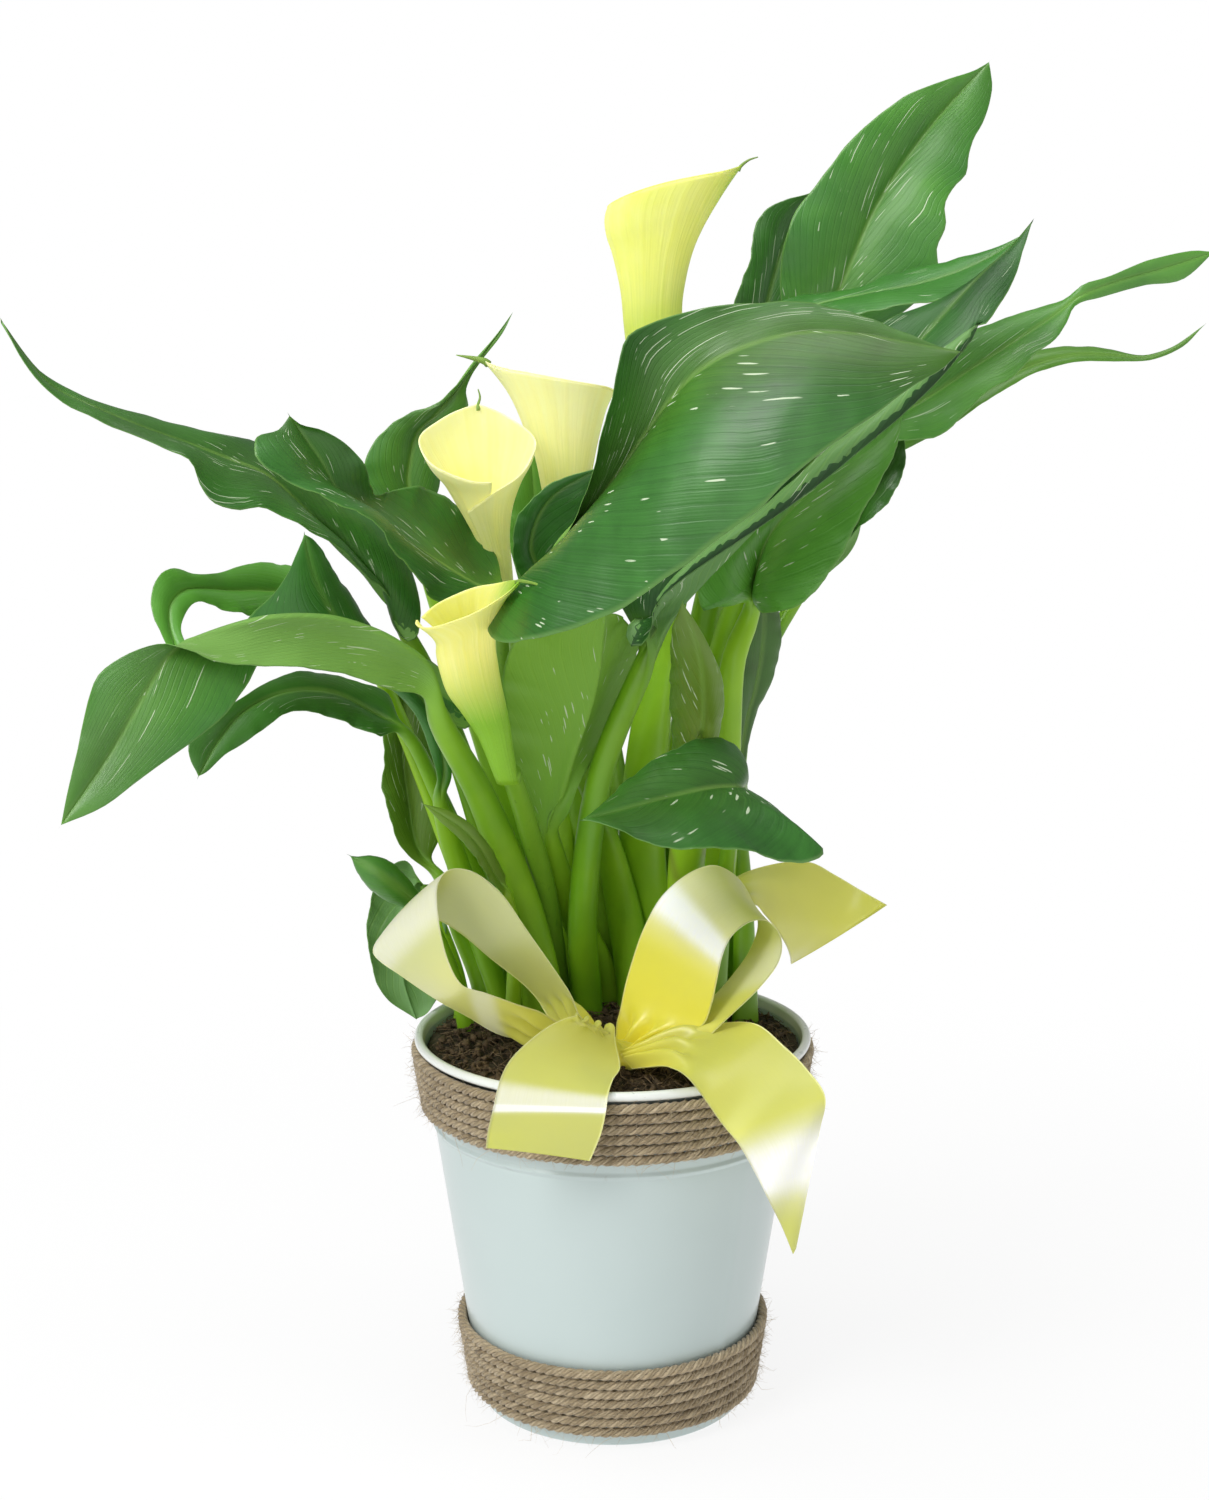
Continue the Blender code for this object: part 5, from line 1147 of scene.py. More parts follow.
# Flowers. left and right: the spathe's outline in the photograph, from its foot to its rim, in
# pixels; depths: how far away its foot and rim are; deep: how round it is at both; tilt: the
# degrees by which its far side is raised at both. tailAt: the angle at which the tail grows
# (0 right, 90 away), then the thread on it; beak: the thread's radii where they are its own.
# reach: degrees that the near and the far half are wrapped round from the tail; open: the
# share by which the near half stands back halfway up. rim: how high each part of the rim
# reaches. green and lime: how much of each is in the yellow.
flowers = {
    "flower_top": {
        "stalk": [(0.006, 0.058, 0.120), (0.007, 0.057, 0.150), (0.013, 0.048, 0.230), (0.015, 0.036, 0.300),
                  (0.015, 0.027, 0.350)],
        "depths": (0.027, 0.018), "deep": (1.0, 0.62), "tilt": (0, -4),
        "left": [(647, 446), (634, 385), (627, 330), (623, 290), (615, 254), (609, 236), (607, 218), (611, 204)],
        "right": [(663, 446), (676, 385), (681, 330), (682, 298), (690, 258), (702, 228), (722, 194), (738, 171)],
        "tailAt": 0, "reach": (206, 160), "rim": (0.97, 1.0, 1.01, 1.0, 1.0, 1.0, 1.0, 0.99, 0.97),
        "thread": [(741, 166, 18), (749, 160, 18), (758, 157, 18)], "green": 0.6, "lime": 0.66,
    },
    "flower_face": {
        "stalk": [(-0.012, 0.058, 0.120), (-0.015, 0.058, 0.150), (-0.033, 0.054, 0.225), (-0.040, 0.040, 0.265),
                  (-0.040, 0.022, 0.292)],
        "depths": (0.022, -0.006), "deep": (1.0, 0.72), "tilt": (0, 40),
        "left": [(493, 617), (491, 588), (485, 562), (477, 540), (466, 519), (455, 500), (443, 480), (428, 461),
                 (419, 444)],
        "right": [(515, 617), (513, 588), (511, 562), (509, 540), (510, 519), (514, 499), (522, 478), (531, 461),
                  (535, 446)],
        "tailAt": 90, "reach": (212, 196), "rim": (0.62, 0.80, 0.98, 1.0, 1.02, 1.0, 1.0, 0.97, 0.90),
        "thread": [(478, 405, 6), (480, 397, 7), (478, 389, 7)], "green": 0.12, "lime": 0.1,
    },
    "flower_side": {
        "stalk": [(0.010, 0.042, 0.120), (0.010, 0.042, 0.150), (0.001, 0.042, 0.230), (-0.010, 0.036, 0.280),
                  (-0.017, 0.030, 0.314)],
        "depths": (0.030, 0.024), "deep": (1.0, 0.66), "tilt": (0, -3),
        "left": [(560, 560), (550, 525), (543, 492), (536, 458), (527, 433), (516, 403), (507, 386), (496, 370)],
        "right": [(577, 560), (584, 522), (588, 487), (594, 455), (600, 430), (606, 410), (612, 397), (616, 389)],
        "tailAt": 180, "reach": (160, 206), "rim": (0.96, 1.0, 1.0, 1.0, 1.0, 1.01, 1.0, 1.0, 0.96),
        "thread": [(484, 361, 22), (472, 358, 22), (456, 355, 22)],
        "beak": (0.0015, 0.00015), "green": 0.2, "lime": 0.1,
    },
    "flower_front": {
        "stalk": [(-0.020, 0.027, 0.120), (-0.021, 0.026, 0.150), (-0.025, 0.012, 0.190), (-0.031, -0.010, 0.222),
                  (-0.036, -0.027, 0.244)],
        "depths": (-0.027, -0.062), "deep": (1.0, 0.62), "tilt": (0, 20),
        "left": [(500, 772), (485, 742), (466, 713), (448, 690), (439, 668), (436, 651), (437, 639), (430, 630),
                 (419, 622)],
        "right": [(518, 772), (512, 742), (507, 713), (501, 686), (497, 664), (494, 644), (494, 622), (498, 604),
                  (507, 589)],
        "tailAt": 0, "reach": (188, 166), "rim": (1.0, 1.0, 1.0, 1.0, 1.01, 1.0, 1.0, 1.0, 1.0),
        "thread": [(520, 581, -66), (536, 584, -72), (545, 590, -76), (549, 598, -79)],
        "green": 0.80, "lime": 0.2, "open": 0.22,
    },
}
flowerForm = {
    "spathe": 0.0006, "around": 112, "up": 64, "sink": 0.0040, "apart": 0.0010, "tipShare": 0.26, "tipSharp": 1.5,
    "tipRise": 6, "lip": 0.0004, "lipTurn": 70, "lipRows": 4, "lipLift": 0.5, "lipDrop": 0.6, "rowPower": 0.85,
    "rimSmooth": 4, "openPower": 1.6, "farApart": -0.3, "sinkTo": 6, "wave": 0.0003, "wavePower": 4,
    "waves": ((3, 1.0, 1), (7, 0.6, 2)),
    "threadRadii": (0.0007, 0.0002), "threadSides": 8, "threadSteps": 14, "threadSink": 0.002,
    "stalkRadii": (0.0050, 0.0036), "stalkSides": 24, "stalkSteps": 60,
    "spadixRadius": 0.0028, "spadixLength": 0.030, "spadixRings": 90, "spadixSides": 40, "spadixFoot": 0.0009,
    "spadixTaper": 0.35, "spadixBlunt": 6, "spadixTip": 0.02, "spadixSteps": 200,
    "floret": 0.00035, "floretRows": 5, "floretTurns": 60, "floretDip": -0.2, "floretRise": 12,
}
flowerPaint = {
    "pale": rgb(0.93, 0.92, 0.53), "deep": rgb(0.84, 0.77, 0.14), "green": rgb(0.20, 0.42, 0.02),
    "lime": rgb(0.68, 0.78, 0.07), "spadix": rgb(0.85, 0.55, 0.08), "pollen": rgb(0.93, 0.75, 0.22),
    "stalk": rgb(0.13, 0.32, 0.02), "stalkPale": rgb(0.24, 0.46, 0.03), "stalkLine": rgb(0.04, 0.14, 0.01),
    "thread": rgb(0.16, 0.20, 0.06),
}


def spatheLook():
    paint = flowerPaint
    # the faint emission in the spathe's own colour is painted light: it brightens the shaded inside as light shining
    # through would
    look = Look("spathe", {"IOR": 1.42, "Subsurface Weight": 0.3, "Subsurface Radius": (0.006, 0.005, 0.001),
                           "Subsurface Scale": 0.5, "Emission Strength": 0.13})
    around, up = look.grid("grain")
    green, lime = look.value("green"), look.value("lime")
    place = look.place()
    cloud = look.cloud(place, 45, 3)
    fine = look.cloud(look.vector(around * 44, up * 2.2), 1.0, 3)
    streak = look.cloud(look.vector(around * 15, up * 0.8), 1.0, 2)
    body = look.mix((streak * 0.6 + cloud * 0.4 + green * 0.6 - 0.38).clamped(), paint["pale"], paint["deep"])
    # painted shade: the yellow deepens towards the foot, down inside the spathe
    body = look.mix((1 - up).clamped() * 0.55, body, paint["deep"])
    body = look.mix(lime * (0.7 + (cloud - 0.5) * 0.8), body, paint["lime"])
    foot = up.below(0.05, 0.75) * (green * 1.4 + 0.12)
    middle = abs(around + (streak - 0.5) * 0.10)
    tail = middle.below(0.04, 0.30) * up.above(0.70, 1.0) * 0.9 + middle.below(0.01, 0.06) * up.above(0.3, 1.0) * 0.5
    tinge = (foot + tail * (green * 1.5 - 0.15).clamped() + (fine - 0.58) * 0.30).clamped()
    colour = look.mix(tinge, body, paint["green"])
    return look.feed(Base_Color=colour, Emission_Color=colour, Roughness=0.40 + fine * 0.14,
                     Normal=look.bump(fine * 0.8 + streak * 1.6 + cloud * 1.0, 0.0004, 0.6))


def spadixLook():
    look = Look("spadix", {"Subsurface Weight": 0.15, "Subsurface Radius": (0.002, 0.001, 0.0005)})
    grains = look.cloud(look.place(), 900, 2)
    colour = look.mix(grains, flowerPaint["spadix"], flowerPaint["pollen"])
    return look.feed(Base_Color=colour, Roughness=0.6 + grains * 0.3, Normal=look.bump(grains, 0.0003, 0.8))


def stalkLook():
    look = Look("stalk", {"IOR": 1.45})
    place = look.place()
    streaks = look.cloud(look.node("ShaderNodeMapping", {}, {0: place, 3: (1.0, 1.0, 0.06)}), 420, 3)
    cloud = look.cloud(place, 30, 2)
    paler = (cloud * 0.9 + streaks * 0.4 - 0.15).clamped()
    colour = look.mix(paler, flowerPaint["stalk"], flowerPaint["stalkPale"])
    colour = look.mix(streaks.above(0.62, 0.75) * 0.4, colour, flowerPaint["stalkLine"])
    return look.feed(Base_Color=colour, Roughness=0.30 + streaks * 0.2, Normal=look.bump(streaks, 0.0003, 0.5))


def threadLook():
    look = Look("thread", {})
    cloud = look.cloud(look.place(), 300, 2)
    colour = look.mix(cloud, flowerPaint["thread"], flowerPaint["green"])
    return look.feed(Base_Color=colour, Roughness=0.45 + cloud * 0.2)


def spatheTurns(flower):                      # how far round each column stands, and how high its rim reaches
    near, far = flower["reach"]
    half, wide = flowerForm["around"] // 2, flowerForm["rimSmooth"]
    arounds = np.concatenate([np.linspace(-near / far, 0, half + 1)[:-1], np.linspace(0, 1, half + 1)]) * far
    shares = np.where(arounds < 0, arounds / near, arounds / far)
    tops = np.interp(shares, np.linspace(-1, 1, len(flower["rim"])), flower["rim"])
    window = np.ones(2 * wide + 1) / (2 * wide + 1)
    return arounds, shares, np.convolve(np.pad(tops, wide, mode="edge"), window, mode="valid")


def addSpathe(name, flower, material):
    form = flowerForm
    steps, lipRows = form["up"], form["lipRows"]
    depths = np.linspace(*flower["depths"], len(flower["left"]))
    hands = [curve([seenAt(*place, depth) for place, depth in zip(flower[hand], depths)], steps)[0]
             for hand in ("left", "right")]
    middle, wide = (hands[0] + hands[1]) / 2, (hands[1] - hands[0]) / 2
    grown = np.linspace(0, 1, steps + 1)
    tilt = np.radians(np.interp(grown, (0, 1), flower["tilt"])) * grown
    depth = np.stack([0 * tilt, np.cos(tilt), np.sin(tilt)], axis=1)
    depth = depth * (np.linalg.norm(wide, axis=1) * np.interp(grown, (0, 1), flower["deep"]))[:, None]
    arounds, shares, tops = spatheTurns(flower)
    seed = sum(ord(letter) for letter in name)
    soft = sum(much * np.sin(often * np.radians(arounds) + seed * shift) for often, much, shift in form["waves"])
    apart = np.clip((abs(shares) - 0.5) * 2, 0, 1) * np.where(shares < 0, 1.0, form["farApart"]) * form["apart"]
    rows = []
    for row in range(steps + 1 + lipRows):    # from the foot to the rim, then round the lip
        up = min(row / steps, 1.0)**form["rowPower"]
        height = up * tops
        at = np.minimum(height, 1.0)
        centre, widths, deeps = [sample(at, grown, line) for line in (middle, wide, depth)]
        drawn = 1 - flower.get("open", 0.0) * np.sin(np.pi * height**form["openPower"]) * (arounds < 0)
        angle = np.radians(flower["tailAt"] + arounds * drawn)
        out = widths * np.cos(angle)[:, None] + deeps * np.sin(angle)[:, None]
        bend = max(row - steps, 0) / lipRows * math.radians(form["lipTurn"])           # the lip is rolled outwards
        aside = apart + form["wave"] * up**form["wavePower"] * soft + form["lip"] * (1 - math.cos(bend))
        lift = np.maximum(height - 1.0, 0.0) * np.linalg.norm(middle[-1] - middle[0])
        lift = lift + form["lip"] * (math.sin(bend) * form["lipLift"] - (1 - math.cos(bend)) * form["lipDrop"])
        rise = unit(np.cross(widths, deeps))
        rows.append(centre + out + unit(out) * aside[:, None] + rise * lift[:, None])
    points = np.array(rows)
    pull = spot(flower["thread"][0]) - points[steps, form["around"] // 2]
    tail = np.maximum(0.0, 1 - abs(arounds) / (180 * form["tipShare"]))**form["tipSharp"]
    ups = np.minimum(np.arange(len(rows)) / steps, 1.0)
    points = points + pull * (tail[None, :] * (ups**form["tipRise"])[:, None])[..., None]
    points[:, :, 2] -= form["sink"] * np.maximum(0, 1 - ups * form["sinkTo"])[:, None]
    count, columns = points.shape[:2]
    points = points.reshape(-1, 3)
    grid = np.stack(np.broadcast_arrays((arounds / 180)[None, :], ups[:, None] * tops[None, :]), axis=2).reshape(-1, 2)
    piece = newMesh(pieceName(name, "Spathe"), points, sheetFaces(count, columns), material, grids={"grain": grid},
                    values={part: np.full(len(points), flower[part]) for part in ("green", "lime")})
    skin = piece.modifiers.new("skin", "SOLIDIFY")
    skin.thickness = form["spathe"]
    skin.offset = 0
    dress(piece, "spathe", name + "_spathe")
    return unit(pull)


def addThread(name, flower, heading, material):          # the tail's thin end, from inside the spathe's tip
    form = flowerForm
    places = [spot(place) for place in flower["thread"]]
    path = curve([places[0] - heading * form["threadSink"]] + places, form["threadSteps"])[0]
    radii = np.linspace(*flower.get("beak", form["threadRadii"]), len(path))
    points, faces = tube(path, radii, form["threadSides"])
    dress(newMesh(pieceName(name, "Thread"), points, faces, material), "spathe")


def addSpadix(name, flower, material):
    form = flowerForm
    rows, sides = form["spadixRings"], form["spadixSides"]
    depths = np.linspace(*flower["depths"], len(flower["left"]))
    inside = curve([seenAt((a + c) / 2, (b + d) / 2, depth) for (a, b), (c, d), depth
                    in zip(flower["left"], flower["right"], depths)], form["spadixSteps"])[0]
    share = np.linspace(0, 1, rows + 1)[:, None]
    spine = sample(form["spadixFoot"] + form["spadixLength"] * share[:, 0], walked(inside), inside)
    axis = ahead(spine)
    lean = square(np.tile([1.0, 0.0, 0.0], (len(axis), 1)), axis)
    turn = circle(sides)
    blunt = np.sqrt(np.maximum(1 - share**form["spadixBlunt"], form["spadixTip"]))
    thick = form["spadixRadius"] * (1 - form["spadixTaper"] * share) * blunt
    around, along = form["floretRows"] * turn[None, :], form["floretTurns"] * share
    florets = np.cos(around + along) * np.cos(around - along)
    thick = thick + form["floret"] * np.clip(florets, form["floretDip"], 1) * ease(share * form["floretRise"])
    points = spine[:, None] + rounds(lean, np.cross(axis, lean), turn) * thick[..., None]
    piece = newMesh(pieceName(name, "Spadix"), points.reshape(-1, 3), tubeFaces(rows + 1, sides), material)
    dress(piece, "spadix", name + "_spadix")


def addFlower(name, flower, looks):
    form = flowerForm
    stalkMaterial, spatheMaterial, spadixMaterial, threadMaterial = looks
    path = curve(flower["stalk"], form["stalkSteps"])[0]
    points, faces = tube(path, np.linspace(*form["stalkRadii"], len(path)), form["stalkSides"])
    dress(newMesh(pieceName(name, "Stalk"), points, faces, stalkMaterial), "stalk", name + "_stalk")
    heading = addSpathe(name, flower, spatheMaterial)
    addThread(name, flower, heading, threadMaterial)
    addSpadix(name, flower, spadixMaterial)


flowerLooks = (stalkLook(), spatheLook(), spadixLook(), threadLook())
for name, flower in flowers.items():
    addFlower(name, flower, flowerLooks)
print("flowers made:", len(flowers))


# Ribbon: a satin bow. Each station across a piece is one edge's place in the photograph, the
# other edge's place, then the depth midway and the width there in millimetres; the rest of
# its cut width is taken up in pleats. near: 1 where the first edge is the nearer one, -1 where it is behind.
# deep: how much of the deeper yellow, along the piece; it is painted light, the glow held in
# gathered folds, strongest near the knot. painted sheen: bands of sheen painted into the colour,
# each with its share of the length, its slant, its half width and its strength, below 0 a band of painted shade.
# point: the share of the length at which the cut to a point begins.
ribbons = {
    "ribbon_loop_left": {
        "near": 1, "deep": (0.6, 0.1, 0.0, 0.0, 0.0, 0.2, 0.5, 0.6),
        "paintedSheen": ((0.535, 0.0, 0.045, 0.45), (0.40, 0.02, 0.22, 0.12), (0.77, -0.03, 0.03, 0.4)), "stations": [
            (598, 1040, 588, 1048, -39, 9), (590, 1020, 572, 1034, -39, 16), (578, 1004, 547, 1010, -40, 26),
            (554, 969, 524, 985, -40, 36), (526, 929, 490, 958, -38, 40), (504, 897, 460, 933, -36, 40),
            (482, 877, 432, 918, -34, 40), (463, 869, 404, 920, -33, 40), (447, 871, 381, 936, -34, 40),
            (438, 884, 373, 951, -38, 40), (437, 905, 381, 962, -42, 40), (441, 935, 400, 975, -46, 40),
            (449, 963, 420, 989, -48, 40), (462, 985, 442, 1003, -49, 38), (485, 993, 468, 1017, -49, 34),
            (512, 1003, 497, 1034, -48, 28), (545, 1020, 530, 1047, -45, 20), (575, 1040, 565, 1056, -41, 12),
            (592, 1052, 590, 1060, -39.5, 9)],
    },
    "ribbon_loop_right": {
        "near": 1, "deep": (1.0, 1.0, 0.8, 0.35, 0.0, 0.1, 0.3, 0.5, 0.8),
        "paintedSheen": ((0.335, 0.0, 0.035, 0.7), (0.36, 0.0, 0.09, 0.3), (0.68, -0.05, 0.07, 0.4)), "stations": [
            (632, 1054, 622, 1058, -38.5, 9), (650, 1046, 620, 1040, -39, 16), (680, 1036, 620, 1018, -40, 28),
            (703, 1025, 624, 990, -40, 37), (712, 1003, 633, 958, -40, 40), (717, 980, 643, 930, -40, 40),
            (722, 957, 659, 900, -39, 40), (729, 940, 679, 880, -37, 40), (740, 928, 700, 868, -35, 40),
            (753, 921, 718, 866, -34, 40), (767, 921, 738, 878, -34, 40), (779, 933, 752, 900, -35, 40),
            (782, 948, 758, 925, -36, 40), (777, 965, 750, 950, -38, 40), (762, 985, 735, 972, -40, 40),
            (742, 1005, 715, 995, -41.5, 38), (720, 1024, 690, 1018, -42, 30), (690, 1042, 662, 1038, -42, 20),
            (660, 1056, 645, 1052, -41.5, 12), (640, 1064, 636, 1060, -40.5, 9)],
    },
    "ribbon_tail_front_left": {
        "near": 1, "deep": (0.6, 0.25, 0.1, 0.1),
        "paintedSheen": ((0.745, 0.0, 0.055, 0.65), (0.785, 0.0, 0.014, 0.9)), "stations": [
            (596, 1052, 606, 1056, -46, 8), (588, 1030, 610, 1038, -50, 14), (573, 1017, 611, 1030, -56, 24),
            (551, 1025, 617, 1050, -62, 32), (529, 1041, 620, 1068, -69, 37), (511, 1059, 613, 1080, -76, 38.5),
            (500, 1080, 608, 1096, -81, 38.5), (493, 1109, 606, 1111, -84, 39.5), (488, 1131, 601, 1134, -85, 39.5),
            (486, 1148, 590, 1161, -86, 38)],
    },
    "ribbon_tail_front_right": {
        "near": -1, "point": 0.62, "deep": (0.8, 0.3, 0.15, 0.1),
        "paintedSheen": ((0.735, 0.075, 0.085, 0.7), (0.735, 0.075, 0.14, 0.3), (0.38, 0.05, 0.22, -0.2)), "stations": [
            (622, 1056, 628, 1064, -46.6, 8), (645, 1046, 645, 1062, -51, 14), (682, 1028, 668, 1063, -56, 26),
            (720, 1023, 688, 1078, -62, 36), (756, 1024, 705, 1100, -68, 40), (783, 1045, 722, 1124, -74, 40),
            (806, 1068, 739, 1145, -80, 40), (825, 1096, 756, 1175, -84, 38.5), (820, 1129, 768, 1199, -86, 33),
            (811, 1174, 781, 1225, -87, 21), (796, 1248, 793, 1254, -87, 3)],
    },
    "ribbon_tail_back": {
        "near": -1, "deep": (0.6, 0.35, 0.3), "stations": [
            (622, 1040, 632, 1044, -27.5, 8), (632, 1005, 650, 1015, -24, 14), (655, 960, 690, 975, -21, 22),
            (690, 915, 728, 935, -18, 28), (730, 880, 752, 905, -12, 32), (770, 865, 765, 915, -6, 38),
            (808, 862, 778, 932, -1, 40), (835, 875, 786, 945, 2, 40), (862, 891, 790, 956, 4, 40),
            (887, 905, 791, 964, 5, 40.5)],
    },
}
ribbonForm = {
    "width": 0.040, "thick": 0.00022, "steps": 150, "across": 36, "pleats": 3, "crown": 0.0012,
    "knotCentre": (0.001, -0.038, 0.1437), "knotSize": (0.0095, 0.0095, 0.0055), "knotFolds": 7,
    "knotSides": 72, "knotRings": 40, "knotCrease": 0.10, "knotLean": 1.5, "knotSwell": (0.05, 5, 4),
    "knotDeep": (0.75, 0.25), "knotWeave": (0.004, 0.02), "walkSteps": 20, "slope": 1.35, "mostPleated": 5.0,
    "pleatFrom": 1.15, "pleatOver": 0.5, "pleatDrift": (0.8, 4, 6), "paintedSheenEdge": 4, "pointCut": 0.92,
    # satin colours: plain pale, the deeper yellow painted into folds, the painted sheen, the painted shade, the selvage
    "pale": rgb(0.52, 0.55, 0.14), "deep": rgb(0.82, 0.72, 0.05), "paintedSheen": rgb(0.98, 0.98, 0.84),
    "shade": rgb(0.20, 0.24, 0.02), "selvage": rgb(0.82, 0.81, 0.42), "selvageFrom": 0.0192, "thread": 0.00045,
}


def satinLook():
    # the faint emission in the satin's own colour is painted light, for light shining through the ribbon
    look = Look("satin", {"Coat Weight": 0.3, "Coat Roughness": 0.25, "IOR": 1.5, "Sheen Weight": 0.1,
                          "Subsurface Weight": 0.4, "Subsurface Radius": (0.003, 0.003, 0.001), "Subsurface Scale": 0.5,
                          "Emission Strength": 0.07})
    across, along = look.grid("weave")
    deep = look.value("deep")
    place = look.place()
    cloud = look.cloud(place, 45, 2)
    threads = look.cloud(look.vector(across * 1400, along * 90), 1.0, 2)
    weft = (along * (2 * math.pi / ribbonForm["thread"])).sine() * 0.5 + 0.5
    # painted light: the deeper yellow held in gathered folds, set along each piece
    colour = look.mix((deep * 0.9 + (cloud - 0.5) * 0.2).clamped(), ribbonForm["pale"], ribbonForm["deep"])
    # painted sheen and painted shade: the colour is lifted towards a pale highlight in the bands, and darkened where a
    # band's strength is below 0
    paintedSheen = look.value("paintedSheen") * (0.85 + threads * 0.3)
    colour = look.mix(paintedSheen.clamped(), colour, ribbonForm["paintedSheen"])
    colour = look.mix((0 - paintedSheen).clamped(), colour, ribbonForm["shade"])
    edge = abs(across).above(ribbonForm["selvageFrom"], ribbonForm["selvageFrom"] + 0.0005)
    colour = look.mix(edge * 0.4, colour, ribbonForm["selvage"])
    return look.feed(Base_Color=colour, Emission_Color=colour, Roughness=0.36 + threads * 0.10,
                     Normal=look.bump(weft * 0.2 + threads * 0.4 + cloud * 2 + edge * 0.8, 0.00005, 0.6))


def ribbonEdges(ribbon):                      # both edges at each station, at its width apart
    edges = []
    for oneX, oneY, otherX, otherY, deep, wide in ribbon["stations"]:
        depth, width = deep / 1000, wide / 1000
        seen = np.linalg.norm(seenAt(oneX, oneY, depth) - seenAt(otherX, otherY, depth))
        lean = ribbon["near"] * math.sqrt(max(width**2 - seen**2, 0.0)) / 2
        edges.append(np.concatenate([seenAt(oneX, oneY, depth - lean), seenAt(otherX, otherY, depth + lean)]))
    walk = fineCurve(edges, ribbonForm["walkSteps"])
    reach = walked((walk[:, :3] + walk[:, 3:]) / 2)
    walk = sample(np.linspace(0, reach[-1], ribbonForm["steps"] + 1), reach, walk)
    return walk[:, :3], walk[:, 3:], reach[-1]


def addRibbon(name, ribbon, material):
    form = ribbonForm
    rand = random.Random(name)
    one, other, length = ribbonEdges(ribbon)
    path = (one + other) / 2
    share = np.linspace(0, 1, len(path))
    along = ahead(path)
    wide = np.linalg.norm(one - other, axis=1)
    face = np.cross(along, square(one - other, along))[:, None, :]
    cut = np.full(len(path), form["width"])
    if "point" in ribbon:
        cut = cut * (1 - form["pointCut"] * np.clip((share - ribbon["point"]) / (1 - ribbon["point"]), 0, 1))
    ratio = np.clip(cut / wide, 1.0, form["mostPleated"])
    slope = form["slope"] * np.sqrt(np.maximum(ratio**2 - 1, 0)) * ease((ratio - form["pleatFrom"]) / form["pleatOver"])
    deep = slope * wide / (2 * math.pi * form["pleats"])
    spread = np.linspace(-1, 1, form["across"] + 1)
    drift, often, latest = form["pleatDrift"]
    shift = drift * np.sin(share * often + rand.uniform(0, latest))
    fold = np.cos(math.pi * form["pleats"] * spread[None, :] + shift[:, None]) * deep[:, None]
    fold = fold + form["crown"] * (1 - spread[None, :]**2) * (wide / form["width"])[:, None]**2
    middle = path[:, None, :] + (one - other)[:, None, :] / 2 * spread[None, :, None] + face * fold[..., None]
    normal = unit(np.cross(np.gradient(middle, axis=1), np.gradient(middle, axis=0)))
    sign = np.sign(np.sum(normal * face, axis=2, keepdims=True))
    normal = normal * np.where(sign == 0, 1, sign)
    rows, columns = middle.shape[:2]
    count = rows * columns
    points = np.concatenate([middle + normal * form["thick"] / 2, middle - normal * form["thick"] / 2]).reshape(-1, 3)
    faces = [tuple(reversed(quad)) for quad in sheetFaces(rows, columns)]
    faces += sheetFaces(rows, columns, False, count)
    rim = [j * columns for j in range(rows)] + [(rows - 1) * columns + k for k in range(1, columns)]
    rim += [j * columns + columns - 1 for j in reversed(range(rows - 1))] + list(reversed(range(1, columns - 1)))
    faces += [(a, b, b + count, a + count) for a, b in zip(rim, rim[1:] + rim[:1])]
    grid = np.stack([np.tile(spread * form["width"] / 2, (rows, 1)),
                     np.tile((share * length)[:, None], (1, columns))], axis=2).reshape(-1, 2)
    # bands of painted sheen across each piece, painted shade where a strength is below 0
    paintedSheen = np.zeros((rows, columns))
    for at, slant, span, strength in ribbon.get("paintedSheen", ()):
        paintedSheen += strength * np.exp(-((share[:, None] - at - slant * spread) / span)**form["paintedSheenEdge"])
    deeper = np.repeat(blended(ribbon["deep"], share), columns)
    values = {"deep": np.tile(deeper, 2), "paintedSheen": np.tile(paintedSheen.ravel(), 2)}
    piece = newMesh(pieceName(name, "Satin"), points, faces, material,
                    grids={"weave": np.concatenate([grid, grid])}, values=values)
    dress(piece, "satin", name)


def addKnot(material):
    form = ribbonForm
    sides, rings = form["knotSides"], form["knotRings"]
    swellBy, swellOut, swellUp = form["knotSwell"]
    points, deep, grid = [], [], []
    for j in range(rings + 1):
        tilt = math.pi * j / rings
        for turn in circle(sides):
            out = np.array([math.sin(tilt) * math.cos(turn), math.sin(tilt) * math.sin(turn), math.cos(tilt)])
            crease = math.cos(form["knotFolds"] * turn + form["knotLean"] * math.cos(tilt)) * math.sin(tilt)
            swell = 1 + form["knotCrease"] * crease + swellBy * math.sin(swellOut * out[0] + swellUp * out[2])
            points.append(out * swell * np.array(form["knotSize"]) + np.array(form["knotCentre"]))
            # painted light: a deeper yellow in the hollows between the knot's folds
            deep.append(form["knotDeep"][0] - form["knotDeep"][1] * crease)
            grid.append((form["knotWeave"][0] * math.cos(turn), form["knotWeave"][1] * turn))
    faces = [tuple(reversed(face)) for face in sheetFaces(rings + 1, sides, True)]
    values = {"deep": deep, "paintedSheen": np.zeros(len(points))}
    piece = newMesh("bowKnot", points, faces, material, grids={"weave": grid}, values=values)
    dress(piece, "satin", "ribbon_knot")


satin = satinLook()
for name, ribbon in ribbons.items():
    addRibbon(name, ribbon, satin)
addKnot(satin)
print("ribbon tied")


# Stage: pale floor that fades into white, and soft studio light
stageSize = {
    "floorRings": (0.3, 1.0, 2.5, 5.0, 7.0), "sides": 96, "domeRadius": 8.0, "domeRings": 14, "domeFrom": -0.2,
    "fadeFrom": 0.05, "fadeTo": 0.6, "paper": 0.86, "world": 0.37, "white": rgb(1, 1, 1),
    "lights": {                               # place, width, height, watts
        "key": ((-1.05, -1.15, 1.50), 0.8, 0.8, 24),
        "fill": ((-0.15, -1.60, 0.45), 1.0, 1.0, 4),
        "top": ((-0.10, -0.25, 1.90), 1.7, 0.6, 15),
    },
    "aim": (0.0, 0.0, 0.24),
}


def glowNode(look):
    return look.node("ShaderNodeEmission", {}, {"Color": stageSize["white"], "Strength": 1.0})


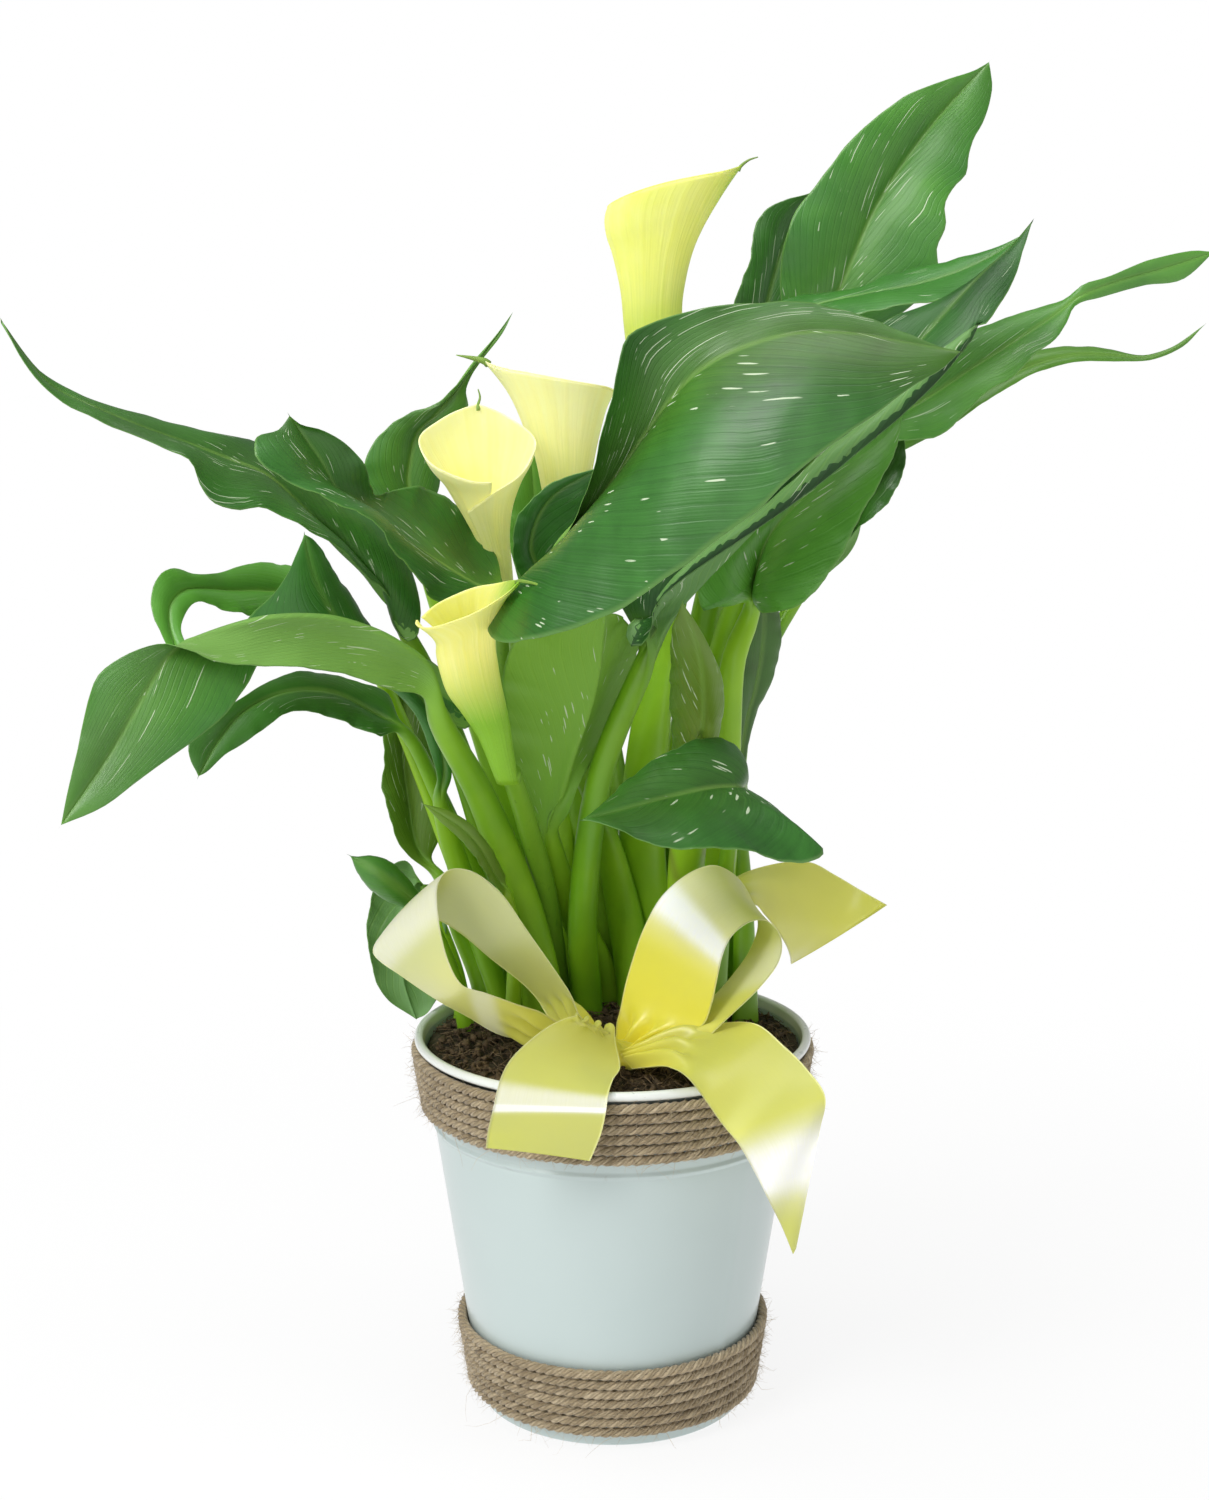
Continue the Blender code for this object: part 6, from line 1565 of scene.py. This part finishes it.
def addFloor():
    form = stageSize
    look = Look("floor", {"Roughness": 0.9, "Base Color": rgb(0.92, 0.92, 0.92)})
    flat = look.node("ShaderNodeVectorMath", {"operation": "LENGTH"}, [look.place()], 1)
    fade = flat.above(form["fadeFrom"], form["fadeTo"]) * (1 - form["paper"]) + form["paper"]
    blend = look.node("ShaderNodeMixShader", {}, [fade, Wire(look, look.shader.outputs[0]), glowNode(look)])
    look.tree.links.new(blend.socket, look.tree.nodes["Material Output"].inputs[0])
    rings, sides = form["floorRings"], form["sides"]
    points = [(r * math.cos(a), r * math.sin(a), 0.0) for r in rings for a in circle(sides)]
    faces = [tuple(reversed(face)) for face in sheetFaces(len(rings), sides, True)] + [tuple(range(sides))]
    newMesh("studioFloor", points, faces, look.material, smooth=False)


def addBackdrop():
    look = Look("backdrop", {})
    look.tree.links.new(glowNode(look).socket, look.tree.nodes["Material Output"].inputs[0])
    radius, rings, sides = stageSize["domeRadius"], stageSize["domeRings"], stageSize["sides"]
    points = [(radius * math.cos(t) * math.cos(a), radius * math.cos(t) * math.sin(a), radius * math.sin(t))
              for t in np.linspace(stageSize["domeFrom"], math.pi / 2 - 0.02, rings) for a in circle(sides)]
    faces = sheetFaces(rings, sides, True)
    faces.append(tuple((rings - 1) * sides + k for k in range(sides)))
    dome = newMesh("studioBackdrop", points, faces, look.material)
    dome.visible_diffuse = dome.visible_glossy = dome.visible_transmission = dome.visible_shadow = False


def addLights():
    world = bpy.data.worlds.new("studio")
    world.use_nodes = True
    world.node_tree.nodes["Background"].inputs[0].default_value = stageSize["white"]
    world.node_tree.nodes["Background"].inputs[1].default_value = stageSize["world"]
    scene.world = world
    for name, (place, width, height, power) in stageSize["lights"].items():
        lamp = bpy.data.lights.new(name, "AREA")
        lamp.shape = "RECTANGLE"
        lamp.size, lamp.size_y = width, height
        lamp.energy = power
        holder = bpy.data.objects.new(name, lamp)
        holder.location = place
        holder.rotation_euler = (Vector(stageSize["aim"]) - Vector(place)).to_track_quat("-Z", "Y").to_euler()
        scene.collection.objects.link(holder)


def addCamera():
    lens = bpy.data.cameras.new("photoCamera")
    lens.lens = cameraSet["lens"]
    lens.sensor_width = cameraSet["sensor"]
    lens.sensor_fit = "AUTO"
    holder = bpy.data.objects.new("photoCamera", lens)
    holder.location = cameraSet["place"]
    holder.rotation_euler = (math.radians(90 + cameraSet["pitch"]), 0, 0)
    scene.collection.objects.link(holder)
    scene.camera = holder


addFloor()
addBackdrop()
addLights()
addCamera()
scene.view_settings.view_transform = "Standard"
scene.view_settings.look = "None"
print("stage and camera set")
